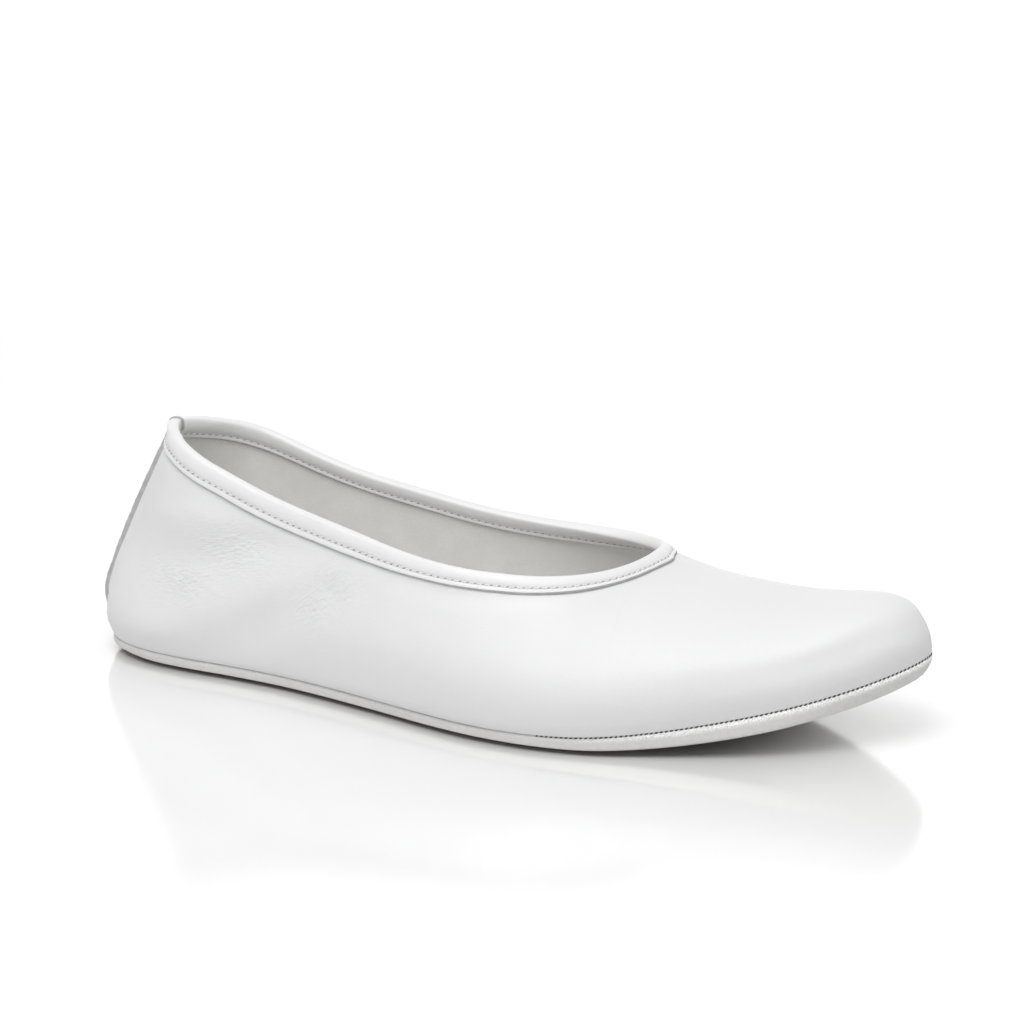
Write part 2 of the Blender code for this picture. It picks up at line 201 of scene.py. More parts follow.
BINDING_LEAST = 0.10      # the strip stands out at least this far
# Along the collar: s, width of the outside leg against its profile, height of the fold above the wall
BINDING_RUN = (
    (0.0, 1.02, 0.85),
    (18.0, 1.02, 1.3),
    (38.0, 1.03, 2.0),
    (52.0, 1.08, 1.5),
    (67.0, 1.17, 1.0),
    (84.0, 1.18, 0.85),
    (102.0, 1.10, 0.85),
    (120.0, 0.95, 0.85),
    (136.0, 0.85, 0.85),
    (150.0, 0.86, 0.85),
    (165.0, 0.85, 0.85),
    (172.0, 0.80, 0.85),
    (180.0, 0.80, 0.85),
)
BINDING_PLUMB = (4.0, 18.0)  # the strip hangs straight down near the back seam, then square to the edge
BINDING_WAVES = {side: ((0.05, 6.1, side), (0.04, 2.9, 2.0)) for side in (-1, 1)}
WAVE_CLEAR = (0.0, 6.0)   # the waves fade in from the back seam
CUT_WAVE = 0.5            # share of them that the cut edge follows
EVEN_STATIONS = 10        # stations each way over which the strip is evened out
EVEN_HALF = 8.0           # and how far, where the heel's ring meets the side
THROAT_WIDEN = 0.17       # the leg is wider again round the throat
THROAT_REACH = {-1: 7.5, 1: 2.5}
STITCH_DOWN = 3.56        # stitch rows: distance down from the edge, and out from the wall
STITCH_OUT = 0.76
STITCH_DOWN_INSIDE = 3.4
STITCH_OUT_INSIDE = 0.74
STITCH_START = 2.4        # they start this far from the back seam
DENT_HALF = (0.55, 0.5)   # half width of the dent along the stitch row, outside and inside
DENT_DEPTH = 0.13         # how much deeper it is at the needle holes
PUFF_ABOVE = 1.5          # the strip is full from this far above the row
PUFF_BELOW = (0.6, 1.4)   # and a little less full below it
PUFF_LOW = 0.6
# Stitches: radius, rise and sink against the thread's size, slant and its spread in radians
BINDING_STITCH = (0.5, 0.55, 0.55, 0.0, 0.12)
# The dark marks between stitches paint the needle holes' shade
NEEDLE_HOLE = (0.5, 0.1, 0.30, 0.35, 0.12)
SEAM_STITCH = (0.5, 0.35, 0.2, 0.5, 0.25)
HOLE_LENGTH = 0.9
SEAM_STITCH_LENGTH = 0.55  # share of the seam's pitch
BINDING_SEED = 7
SEAM_SEED = 3
THREAD_POINTS = 5
THREAD_SIDES = 6

# Back seam: two raw edges side by side, standing out as a fin; the whole fin takes the raw edges' grey, which
# on its flanks is painted shade
FIN_HEIGHT = 1.65
FIN_RAMP = (5.0, 10.0)    # it rises out of the wall between these heights
FIN_SUNK = 0.5            # and lies this far inside the wall before
FIN_LEFT = (
    (-1.02, -1.60), (-1.00, -1.15), (-0.98, -0.72), (-0.95, -0.30), (-0.86, -0.06), (-0.66, 0.05),
    (-0.38, 0.02), (-0.14, -0.10),
)
FIN_GROOVE = (0.0, -0.42)
FIN_PROFILE = (*FIN_LEFT, FIN_GROOVE, *[(-y, z) for y, z in FIN_LEFT[::-1]])
FIN_ROOT = 1.4            # how far the fin reaches into the wall
FIN_OVER = 0.45           # how far the raw edges stand above the binding
FIN_CLIMB = (-0.6, 0.8)   # they climb onto the binding within this distance of its lower edge
FIN_NARROW = 0.55         # width of the fin where it is lowest
FIN_LOW = 0.3             # its profile is never flatter than this share
FIN_END = (0.8, 3.0, 0.9)  # inside: step down, step at which it starts to sink in, and how far it sinks
FIN_WAVES = ((0.05, 1.0 / 1.7, 0.0), (0.04, 1.0 / 0.61, 1.0))
FLARE = (0.2, 2.2)        # the wall turns out to the fin: how far, half width
BACK_BULGE = 1.2          # low on the heel the wall is drawn out to the seam
BACK_BULGE_HALF = 3.0
BULGE_HEIGHTS = ((5.0, 12.0), (16.0, 26.0))
BACK_PRESS = (8.0, 4.0, 0.8)  # and pressed in beside it: distance from the seam, half width, depth
PRESS_HEIGHTS = ((9.0, 15.0), (22.0, 30.0))

# Sole edge: offset out, and level between the foot of the edge (0) and the sole's top (1)
SOLE_EDGE = (
    (-2.4, 0.97), (-0.7, 1.0), (-0.15, 1.0), (0.16, 0.955), (0.33, 0.86), (0.37, 0.74), (0.34, 0.58),
    (0.27, 0.40), (0.17, 0.22), (0.02, 0.08), (-0.25, 0.0),
)
SOLE_UNEVEN = (0.05, 0.9)  # levels between which the edge is uneven
SOLE_WAVES = ((0.10, 7.0, 0.0), (0.07, 3.1, 1.0))
# Sole underside: share of its reach in from the edge, and share of the foot's height
SOLE_UNDER = ((0.08, 0.94), (0.28, 0.66), (0.55, 0.27), (0.82, 0.06), (1.0, 0.0))
SOLE_FOOT = 1.45          # height of the edge's foot above the tread
SOLE_FOOT_BACK = 1.1      # how much higher it is at the back of the heel
SOLE_FOOT_RAMP = (0.0, 30.0)
SOLE_UNDER_REACH = 13.0
SOLE_UNDER_RAMP = (200.0, 248.0)
SOLE_UNDER_TOE = 0.4      # share of the reach that is left at the toe
SOLE_TOE_ROUND = 2.0      # how far the lower edge is rounded in at the toe
SOLE_ROUND_RAMP = (222.0, 256.0)
SOLE_HIGHLIGHT_LEVELS = (0.64, 0.84)  # the upper part of the edge carries a painted highlight
SOLE_HIGHLIGHT_HEEL = 0.15      # and fades to this share towards the heel
SOLE_HIGHLIGHT_FULL = 205.0
TREAD_END = (200.0, 238.0)  # the napped tread ends between the ball and the toe
SEAM_DIP = (178.0, 32.0, 0.5)  # the seam sags a little beside the ball: x, reach, depth
SEAM_DIP_UP = 5.0         # and the upper with it, fading over this distance
SEAM_SET_BACK = 0.25      # the seam thread lies this far inside the sole's top edge
SEAM_STITCH_OUT = 0.15    # and its stitches this far out from it
SOLE_STITCH_FROM = 163.0  # the sole's stitches show from here to the toe

# Insole edge: offset in, and height
INSOLE_THICK = 1.6
INSOLE_INSET = 2.2
INSOLE_EDGE = (
    (0.8, 0.0), (0.1, 0.05), (0.0, 0.4), (0.0, 1.0), (0.12, 1.35), (0.4, 1.55), (0.9, INSOLE_THICK),
)
INSOLE_DISH = 0.7
DISH_WIDTH = 40.0         # the dish has its full depth from this width
DISH_POWER = 0.7

# Slow clouds of colour run between these values of their noise
CLOUD = (0.3, 0.7)

# Camera, fitted to the object's outlines
CAMERA_AIM = (133.0, 0.0, 35.0)
CAMERA_AZIMUTH = 22.54
CAMERA_ELEVATION = 15.06
CAMERA_DISTANCE = 600.7
CAMERA_PAN = 0.32
CAMERA_TILT = 1.76
CAMERA_ROLL = 0.35
CAMERA_FOCUS = 2057.2     # in pixels of the image
CAMERA_CLIP = (0.01, 50.0)
IMAGE_WIDTH = 1024
SENSOR_WIDTH = 36.0
# Soft lamps, in metres
LAMP_SIZE = 0.6
LAMPS = {"top_lamp": (0.0, 0.0, 0.9), "front_lamp": (0.0, -0.53, 0.92), "side_lamp": (0.75, -0.1, 0.75)}
FLOOR_DROP = 0.0001       # the floor lies this far under the sole
CEILING_RAMP = (0.1, 0.8)  # heights in the surroundings between which they turn to the ceiling


def spline(knots, values):
    """Natural cubic through values at knots, as a function."""
    count = len(knots)
    step = np.diff(knots)
    slope = np.diff(values) / step
    matrix = np.eye(count)
    right = np.zeros(count)
    for i in range(1, count - 1):
        matrix[i, i - 1] = step[i - 1]
        matrix[i, i] = 2.0 * (step[i - 1] + step[i])
        matrix[i, i + 1] = step[i]
        right[i] = 6.0 * (slope[i] - slope[i - 1])
    bend = np.linalg.solve(matrix, right)

    def value(x):
        x = np.clip(x, knots[0], knots[-1])
        i = np.clip(np.searchsorted(knots, x) - 1, 0, count - 2)
        low = x - knots[i]
        high = knots[i + 1] - x
        width = step[i]
        curved = (bend[i] * high ** 3 + bend[i + 1] * low ** 3) / (6.0 * width)
        start = (values[i] / width - bend[i] * width / 6.0) * high
        end = (values[i + 1] / width - bend[i + 1] * width / 6.0) * low
        return curved + start + end

    return value


def splines(table):
    """A curve through each column of a table, as a function of its first column."""
    knots, *columns = np.array(table).T
    return [spline(knots, values) for values in columns]


LATERAL_AT, MEDIAL_AT, ARCH_AT = splines(SECTIONS)
[BACK_AT] = splines(BACK)
[COLLAR_AT] = splines(COLLAR)
[LEAN_AT] = splines(CREST_LEAN)
ROLL_RISE_AT, ROLL_HALF_AT, ROLL_RELIEF_AT = splines(SIDE_ROLL)
BINDING_WIDTH_AT, BINDING_ROLL_AT = splines(BINDING_RUN)


def ease(t):
    """Smooth step from 0 to 1."""
    t = np.clip(t, 0.0, 1.0)
    return t * t * (3.0 - 2.0 * t)


def blend(x, start, end, first, last):
    """First value up to start, last value from end, eased between them."""
    return first + (last - first) * ease((x - start) / (end - start))


def bump(x, middle, half):
    """Rounded hump of height 1 with a half width."""
    return np.exp(-((x - middle) / half) ** 2)


def window(x, rise, fall):
    """1 between two stretches, eased in over the first and out over the second."""
    return blend(x, *rise, 0.0, 1.0) * blend(x, *fall, 1.0, 0.0)


def waves(run, parts):
    """Slow unevenness along a run: height, length and phase of each wave."""
    return sum(height * np.sin(run / length + phase) for height, length, phase in parts)


def closing(x, start, power, end=LENGTH):
    """Factor that falls from 1 at start to 0 at end along a rounded curve."""
    t = np.clip((x - start) / (end - start), 0.0, 1.0)
    return np.maximum(1.0 - t ** power, 0.0) ** (1.0 / power)


def spring(x):
    """Height of the sole's underside."""
    t = np.clip((x - BALL_X) / (LENGTH - BALL_X), 0.0, None)
    return TOE_SPRING * t ** SPRING_POWER


def sole_top(x):
    """Height of the sole's top edge, where the upper meets it."""
    return spring(x) + blend(x, *SOLE_RAMP, SOLE_HEEL, SOLE_TOE)


def centre(x):
    """The last's centre line, which swings to the medial side at the toe."""
    return blend(x, SWING_FROM, LENGTH, 0.0, TOE_SWING)


def arch(x):
    """Height of the arch's top above the sole's edge."""
    return ARCH_AT(x) * closing(x, *CLOSE_ARCH)


def reach(x, side):
    """Half width of the last on one side, before the toe closes it."""
    return LATERAL_AT(x) if side < 0 else MEDIAL_AT(x)


def section(x, side, h):
    """Half width and height on one section: h 0 at the sole, 1 at the widest line, 2 at the top."""
    narrow = closing(x, *CLOSE_WIDTH)
    widest = reach(x, side) * narrow
    tuck = blend(x, *TUCK_RAMP, TUCK_HEEL, TUCK_TOE) * narrow
    foot = sole_top(x) + GAP
    belly = np.minimum(blend(x, *BELLY_RAMP, BELLY_HEEL, BELLY_TOE), BELLY_SHARE * arch(x))
    flank = np.clip(h, 0.0, 1.0) * math.pi / 2.0
    turn = np.clip(h - 1.0, 0.0, 1.0) * math.pi / 2.0
    low_width = widest - tuck + tuck * np.sin(flank)
    low_height = belly * (1.0 - np.cos(flank))
    high_width = widest * np.cos(turn)
    high_height = belly + (arch(x) - belly) * np.sin(turn)
    width = np.where(h < 1.0, low_width, high_width)
    height = np.where(h < 1.0, low_height, high_height)
    return width, foot + height


def surface(s, side, h):
    """Outside of the upper. s is x in front of HEEL_X, and behind it runs round to the back at 0."""
    s, h = np.broadcast_arrays(np.asarray(s, float), np.asarray(h, float))
    x = np.maximum(s, HEEL_X)
    width, z = section(x, side, h)
    share = np.sin(np.clip(s / HEEL_X, 0.0, 1.0) * math.pi / 2.0) ** RING_SPREAD
    at_back = blend(z, SOLE_HEEL, RING_HIGH, *RING_BACK)
    at_side = blend(z, SOLE_HEEL, RING_HIGH, *RING_SIDE)
    depth = np.maximum(1.0 - share ** at_back, 0.0) ** (1.0 / at_side)
    x = np.where(s < HEEL_X, HEEL_X - (HEEL_X - BACK_AT(z)) * depth, x)
    taper = reach(x, side) / reach(HEEL_X, side) * share
    y = centre(x) + side * width * np.where(s < HEEL_X, taper, 1.0)
    return np.stack([x, y, z], axis=-1)


def collar(s):
    """The h at which the upper ends at the foot opening; 2 in front of the throat."""
    s = np.asarray(s, float)
    x = np.clip(s, HEEL_X, THROAT_X)
    angle = 90.0 - (90.0 - COLLAR_AT(x)) * closing(x, *CLOSE_COLLAR, end=THROAT_X)
    foot = sole_top(HEEL_X) + GAP + BELLY_HEEL
    rise = arch(HEEL_X) - BELLY_HEEL
    side_height = rise * math.sin(math.radians(COLLAR[0][1]))
    back = np.cos(np.clip(s / HEEL_X, 0.0, 1.0) * math.pi / 2.0)
    height = side_height + (COLLAR_BACK - foot - side_height) * back
    around = np.degrees(np.arcsin(np.clip(height / rise, 0.0, 1.0)))
    return 1.0 + np.where(s < HEEL_X, around, angle) / 90.0


def unit(vectors):
    """The vectors at length one."""
    return vectors / np.maximum(np.linalg.norm(vectors, axis=-1, keepdims=True), 1e-12)


def run_length(points):
    """Length along a line of points, up to each of them."""
    return np.concatenate([[0.0], np.cumsum(np.linalg.norm(np.diff(points, axis=0), axis=1))])


def directions(s, side, h):
    """Slopes of the surface along s and h, and its outward normal."""
    behind = np.maximum(s - SLOPE_S, 0.0)
    ahead = s + SLOPE_S
    along = (surface(ahead, side, h) - surface(behind, side, h)) / (ahead - behind)[..., None]
    top = np.minimum(h + SLOPE_H, 2.0)
    up = (surface(s, side, top) - surface(s, side, top - 2.0 * SLOPE_H)) / (2.0 * SLOPE_H)
    normal = unit(np.cross(along, up) * -side)
    # On the back seam both sides share one normal, which points straight back
    normal[..., 1] *= np.clip(s / SEAM_SHARED, 0.0, 1.0)
    return along, up, unit(normal)


def last_origin():
    """Where the last's origin lies in the frame: the upper's toe tip is a known point of both."""
    corners = np.array([v.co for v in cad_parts["upper"].data.vertices])
    tip = corners[np.argmax(corners[:, 0])]
    return tip - np.array([LENGTH, TOE_SWING, sole_top(LENGTH) + GAP]) * MM


ORIGIN = last_origin()


def placed(points):
    """Points of the last, in millimetres, as metres in the frame."""
    return np.asarray(points, float) * MM + ORIGIN


class Value:
    """A socket in a material's expression; each operation adds a Math node."""

    def __init__(self, tree, socket):
        self.tree = tree
        self.socket = socket

    def math(self, operation, *operands):
        node = new_node(self.tree, "ShaderNodeMath", {"operation": operation}, dict(enumerate(operands)))
        return Value(self.tree, node.outputs["Value"])

    def __add__(self, other):
        return self.math("ADD", self, other)

    def __radd__(self, other):
        return self.math("ADD", other, self)

    def __sub__(self, other):
        return self.math("SUBTRACT", self, other)

    def __rsub__(self, other):
        return self.math("SUBTRACT", other, self)

    def __mul__(self, other):
        return self.math("MULTIPLY", self, other)

    def __rmul__(self, other):
        return self.math("MULTIPLY", other, self)


def connect(tree, slot, value):
    """Give a node's socket a link or a plain value."""
    if isinstance(value, Value):
        value = value.socket
    if isinstance(value, bpy.types.NodeSocket):
        tree.links.new(value, slot)
    else:
        slot.default_value = value


def new_node(tree, kind, settings=None, sockets=None):
    """A node; its settings are set first, then the values or links of its sockets."""
    node = tree.nodes.new(kind)
    for key, value in (settings or {}).items():
        setattr(node, key, value)
    for key, value in (sockets or {}).items():
        connect(tree, node.inputs[key], value)
    return node


class Finish:
    """One material and the nodes that make it."""

    def __init__(self, name):
        self.material = bpy.data.materials.new(name)
        self.material.use_nodes = True
        self.tree = self.material.node_tree
        self.shader = self.tree.nodes["Principled BSDF"]

    def node(self, kind, output, settings=None, sockets=None):
        """The output of a node that is added to the material."""
        return Value(self.tree, new_node(self.tree, kind, settings, sockets).outputs[output])

    def place(self, stretch=(1.0, 1.0, 1.0), turn=(0.0, 0.0, 0.0)):
        """Object coordinates in millimetres, for a pattern that is stretched and then turned."""
        here = self.node("ShaderNodeTexCoord", "Object")
        return self.node("ShaderNodeMapping", "Vector", {"vector_type": "TEXTURE"}, {
            "Vector": here, "Rotation": turn, "Scale": tuple(MM * k for k in stretch)})

    def noise(self, where, size, detail=3.0, roughness=0.5):
        """Noise between 0 and 1 with features of a size in millimetres."""
        return self.node("ShaderNodeTexNoise", "Fac", {}, {
            "Vector": where, "Scale": 1.0 / size, "Detail": detail, "Roughness": roughness})

    def cells(self, where, size):
        """Distance from the borders of cells of a size in millimetres."""
        return self.node("ShaderNodeTexVoronoi", "Distance", {"feature": "DISTANCE_TO_EDGE"}, {
            "Vector": where, "Scale": 1.0 / size})

    def between(self, value, low, high):
        """0 below low and 1 above high, eased."""
        return self.node("ShaderNodeMapRange", "Result", {"interpolation_type": "SMOOTHSTEP"}, {
            "Value": value, "From Min": low, "From Max": high})

    def attribute(self, name):
        """A value stored on the piece's points."""
        return self.node("ShaderNodeAttribute", "Fac", {"attribute_name": name})

    def mix(self, share, first, second):
        """One colour to another by a share."""
        return self.node("ShaderNodeMix", 2, {"data_type": "RGBA"}, {
            0: share, 6: tone(first), 7: tone(second)})

    def shade(self, colour, roughness, height=None, depth=0.05, specular=0.5):
        """Set the shader's colour, roughness and gloss, and its bump of a depth in millimetres."""
        connect(self.tree, self.shader.inputs["Base Color"], tone(colour))
        connect(self.tree, self.shader.inputs["Roughness"], roughness)
        connect(self.tree, self.shader.inputs["Specular IOR Level"], specular)
        if height is not None:
            relief_node = self.node("ShaderNodeBump", "Normal", {}, {
                "Strength": 1.0, "Distance": depth * MM, "Height": height})
            connect(self.tree, self.shader.inputs["Normal"], relief_node)
        return self.material


def tone(colour):
    """A colour for a socket: a link as it is, or red, green and blue with full alpha."""
    return colour if isinstance(colour, Value) else (*colour[:3], 1.0)


def shaded(colour, factor):
    """A colour made lighter or darker."""
    return tuple(min(1.0, c * factor) for c in colour[:3])


def upper_leather(settings):
    """Smooth white leather: fine grain, faint wrinkles on the quarters, a little darker towards the sole, and
    painted shade under the binding and beside the back seam.
    """
    f = Finish("upper_leather")
    here = f.place()
    wander = f.noise(here, size=2.4, detail=2.0)
    grain = f.between(f.cells(here, settings.grain / MM), 0.0, 0.32)
    pores = f.noise(here, size=0.32, detail=2.0)
    across = f.place(WRINKLE_STRETCH, WRINKLE_TURN)
    streaks = f.noise(across, size=0.9, detail=2.0, roughness=0.55)
    ripple = f.noise(across, size=1.5, detail=1.0) - 0.5
    crease = f.between(ripple.math("ABSOLUTE", ripple), 0.0, 0.05)
    pleats = f.noise(f.place(WRINKLE_STRETCH, SLANTED_TURN), size=0.9, detail=2.0, roughness=0.55)
    cloud = f.noise(here, size=26.0)
    colour = f.mix(f.between(cloud, *CLOUD) * 0.6, settings.leather, shaded(settings.leather, 0.975))
    # Darker towards the sole, with painted shade under the binding and beside the back seam
    colour = f.mix(f.attribute("edge") * (0.55 + 0.45 * wander), colour, settings.soil_and_shade)
    roughness = 0.40 + 0.10 * cloud + 0.05 * wander
    # Heights here are in millimetres
    skin = 0.014 * grain + 0.007 * pores + 0.02 * wander
    wrinkles = f.attribute("wrinkle") * (WRINKLE_DEPTH * streaks + 0.08 * crease)
    slanted = f.attribute("slanted") * WRINKLE_DEPTH * pleats
    return f.shade(colour, roughness, skin + wrinkles + slanted, depth=1.0, specular=0.42)


def lining(settings):
    """Soft off-white lining with a short nap."""
    f = Finish("lining")
    here = f.place()
    nap = f.noise(here, size=0.5, detail=4.0, roughness=0.65)
    cloud = f.noise(here, size=14.0)
    colour = f.mix(f.between(cloud, *CLOUD), settings.lining, shaded(settings.lining, 0.92))
    colour = f.mix(f.between(nap, 0.35, 0.75) * 0.35, colour, shaded(settings.lining, 0.80))
    return f.shade(colour, 0.82 + 0.1 * nap, nap, depth=0.09, specular=0.2)


def raw_edge(name, colour):
    """Cut leather: grey, fibrous and matt."""
    f = Finish(name)
    here = f.place()
    fibre = f.noise(here, size=0.35, detail=4.0, roughness=0.7)
    cloud = f.noise(here, size=3.0, detail=2.0)
    share = f.between(0.6 * fibre + 0.4 * cloud, 0.32, 0.68)
    base = f.mix(share, shaded(colour, 0.80), shaded(colour, 1.14))
    return f.shade(base, 0.86 + 0.08 * fibre, fibre, depth=0.10, specular=0.15)


def binding_leather(settings):
    """Satin white leather of the binding, with a little painted shade in the dent along its stitch rows."""
    f = Finish("binding_leather")
    here = f.place()
    grain = f.between(f.cells(here, size=0.75), 0.0, 0.3)
    pores = f.noise(here, size=0.3, detail=2.0)
    cloud = f.noise(here, size=9.0)
    colour = f.mix(f.between(cloud, *CLOUD) * 0.5, settings.binding, shaded(settings.binding, 0.97))
    # Painted shade in the dent along the stitch rows
    colour = f.mix(f.attribute("row") * 0.3, colour, shaded(settings.binding, 0.88))
    height = 0.3 * grain + 0.2 * pores + 0.2 * cloud
    return f.shade(colour, 0.36 + 0.12 * cloud, height, depth=0.05, specular=0.45)


def thread_finish(name, colour):
    """Twisted sewing thread."""
    f = Finish(name)
    twist = f.node("ShaderNodeTexWave", "Fac", {"wave_type": "BANDS", "bands_direction": "DIAGONAL"}, {
        "Vector": f.place(), "Scale": 1.6, "Distortion": 0.6})
    base = f.mix(f.between(twist, 0.1, 0.9), shaded(colour, 0.86), colour)
    return f.shade(base, 0.55 + 0.15 * twist, twist, depth=0.05)


def sole_leather(settings):
    """Sole leather: fibrous round its pale edge with a painted highlight along the top of the edge, dark,
    napped and scuffed on the tread.
    """
    f = Finish("sole_leather")
    here = f.place()
    fibre = f.noise(f.place(stretch=(2.2, 2.2, 1.0)), size=0.7, roughness=0.6)
    nap = f.noise(here, size=0.45, detail=4.0, roughness=0.7)
    cloud = f.noise(here, size=16.0, detail=4.0)
    scuff = f.noise(f.place(stretch=(8.0, 1.0, 1.0), turn=(0.0, 0.0, 0.3)), size=2.2)
    tread = f.attribute("tread")
    edge = f.mix(f.between(fibre, 0.3, 0.7), shaded(settings.sole, 0.96), shaded(settings.sole, 1.03))
    # Painted highlight in broken dashes along the upper part of the edge
    edge = f.mix(f.attribute("lip") * f.between(nap, 0.36, 0.60), edge, shaded(settings.sole, 1.55))
    under = f.mix(f.between(cloud, 0.32, 0.68), settings.tread, shaded(settings.tread, 0.86))
    under = f.mix(f.between(nap, 0.3, 0.7) * 0.4, under, shaded(settings.tread, 1.12))
    under = f.mix(f.between(scuff, 0.56, 0.72) * 0.35, under, shaded(settings.tread, 0.72))
    height = fibre * (1.0 - tread) + nap * (0.5 + tread)
    return f.shade(f.mix(tread, edge, under), 0.70 + 0.2 * nap, height, depth=0.09, specular=0.25)


def insole_cloth(settings):
    """Plain woven cloth on the insole."""
    f = Finish("insole_cloth")
    here = f.place()
    warp, weft = (
        f.node("ShaderNodeTexWave", "Fac", {"bands_direction": axis}, {"Vector": here, "Scale": 0.42})
        for axis in ("X", "Y"))
    weave = warp * weft
    slub = f.noise(here, size=1.6)
    cloud = f.noise(here, size=20.0)
    colour = f.mix(f.between(cloud, *CLOUD), settings.insole, shaded(settings.insole, 0.93))
    colour = f.mix((1.0 - weave) * 0.25 * (0.5 + slub), colour, shaded(settings.insole, 0.74))
    return f.shade(colour, 0.88 + 0.08 * slub, weave + 0.5 * slub, depth=0.12, specular=0.15)


def floor_finish(settings):
    """Pale polished floor."""
    f = Finish("studio_floor")
    cloud = f.noise(f.place(), size=240.0, detail=2.0)
    colour = f.mix(cloud, settings.floor, shaded(settings.floor, 0.997))
    f.shader.inputs["Metallic"].default_value = settings.floor_mirror
    return f.shade(colour, 0.12 + 0.02 * cloud)


def merged(points, limit=1e-4):
    """Index of each point with points at the same place given one index, and the places."""
    flat = points.reshape(-1, 3)
    keys = np.round(flat / limit).astype(np.int64)
    _, first, index = np.unique(keys, axis=0, return_index=True, return_inverse=True)
    return index.reshape(points.shape[:-1]), flat[first]


def grid_quads(index):
    """Corner indices of the quads of a grid."""
    corners = (index[:-1, :-1], index[1:, :-1], index[1:, 1:], index[:-1, 1:])
    return np.stack(corners, axis=-1).reshape(-1, 4)


def vertex_normals(places, quads):
    """Unit normals at the points, from the quads around them."""
    across = np.cross(places[quads[:, 2]] - places[quads[:, 0]], places[quads[:, 3]] - places[quads[:, 1]])
    total = np.zeros_like(places)
    for k in range(4):
        np.add.at(total, quads[:, k], across)
    return unit(total)


def cleaned(quads):
    """Faces of the quads with collapsed corners dropped."""
    faces = []
    for quad in quads.tolist():
        kept = [c for k, c in enumerate(quad) if c != quad[k - 1]]
        if len(set(kept)) > 2:
            faces.append(kept)
    return faces


def build(name, points, faces, materials, slots=None, values=None):
    """A smooth mesh object from points in millimetres, with a material for each face and point values."""
    mesh = bpy.data.meshes.new(name)
    mesh.from_pydata(placed(points).tolist(), [], faces)
    for material in materials:
        mesh.materials.append(material)
    if slots is not None:
        mesh.polygons.foreach_set("material_index", np.asarray(slots, np.int32))
    for key, value in (values or {}).items():
        layer = mesh.attributes.new(key, "FLOAT", "POINT")
        layer.data.foreach_set("value", np.asarray(value, np.float32))
    mesh.shade_smooth()
    mesh.validate()
    thing = bpy.data.objects.new(name, mesh)
    bpy.context.scene.collection.objects.link(thing)
    return thing


def stations():
    """Stations of one side from the toe tip to the back seam, closer together where it bends."""
    toe_turn = np.linspace(0.0, math.pi / 2.0, TOE_STEPS + 1)
    toe = CLOSE_WIDTH[0] + (LENGTH - CLOSE_WIDTH[0]) * np.cos(toe_turn)
    vamp = np.linspace(CLOSE_WIDTH[0], THROAT_X, VAMP_STEPS + 1)[1:]
    turn = np.linspace(math.pi / 2.0, 0.0, SIDE_STEPS + 1)[1:]
    side = HEEL_X + (THROAT_X - HEEL_X) * np.sin(turn)
    ring = np.linspace(HEEL_X, 0.0, RING_STEPS + 1)[1:]
    return np.concatenate([toe, vamp, side, ring])


def loop_stations():
    """(station, side) pairs from the lateral toe round the heel to the medial toe."""
    one = stations()
    return [(s, -1) for s in one] + [(s, 1) for s in one[-2::-1]]


def column(s, side):
    """One line of points up the wall, and each point's distance from the sole and from the collar."""
    top = float(collar(s)) if s < THROAT_X else 2.0
    fine = np.linspace(1.0, top, COLUMN_SAMPLES)
    along = run_length(surface(s, side, fine))
    high = np.interp(np.linspace(0.0, along[-1], ARCH_ROWS + 1)[1:], along, fine)
    points = surface(s, side, np.concatenate([np.linspace(0.0, 1.0, FLANK_ROWS), high]))
    low = run_length(points)
    from_collar = low[-1] - low if s <= THROAT_X else np.full(len(low), LENGTH)
    return points, low, from_collar


def fold_height(places, folds):
    """Height of soft folds that are drawn in side view."""
    total = np.zeros(len(places))
    spot = places[:, (0, 2)]
    for start, end, half, height in folds:
        start = np.array(start)
        run = np.array(end) - start
        share = np.clip((spot - start) @ run / (run @ run), 0.0, 1.0)
        away = np.linalg.norm(spot - start - share[:, None] * run, axis=1)
        fade = ease(share / FOLD_FADE) * ease((1.0 - share) / FOLD_FADE)
        total += height * bump(away, 0.0, half) * (FOLD_END + (1.0 - FOLD_END) * fade)
    return total


def roll_height(places):
    """Height of the roll along the side, where the upper part turns down to the sole."""
    x, _, z = places.T
    return ROLL_RELIEF_AT(x) * bump(z - sole_top(x), ROLL_RISE_AT(x), ROLL_HALF_AT(x))


def crest_height(places, normals):
    """Height of the crest where the vamp turns down to the sides and the toe."""
    x = places[:, 0]
    return blend(x, *CREST_RAMP, 0.0, CREST_RELIEF) * bump(normals[:, 2], LEAN_AT(x), CREST_SPREAD)


def relief(places, normals, from_sole, from_collar):
    """How far the leather stands out from the last at each point."""
    x, y, z = places.T
    off = y - centre(x)
    lateral = ease(-off / SIDE_BLEND)
    medial = ease(off / SIDE_BLEND)

    def clear(ramps):
        collar_ramp, sole_ramp = ramps
        return blend(from_collar, *collar_ramp, 0.0, 1.0) * blend(from_sole, *sole_ramp, 0.0, 1.0)

    folds = lateral * fold_height(places, LATERAL_FOLDS) + medial * fold_height(places, MEDIAL_FOLDS)
    uneven = sum(high * np.sin(x / along + z / up + phase) for high, along, up, phase in UPPER_WAVES)
    soft = folds + uneven + crest_height(places, normals)
    roll = (lateral + MEDIAL_ROLL * medial) * roll_height(places)
    middle, half, depth = PINCH
    return clear(FOLDS_CLEAR) * soft + clear(ROLL_CLEAR) * roll - depth * bump(from_collar, middle, half)


def back_bulge(z):
    """How far the low heel is drawn out to the seam."""
    return BACK_BULGE * window(z, *BULGE_HEIGHTS)


def back_press(places):
    """How far the low heel is pressed in beside the seam."""
    x, y, z = places.T
    away, half, depth = BACK_PRESS
    return depth * bump(np.abs(y), away, half) * (x < HEEL_X) * window(z, *PRESS_HEIGHTS)


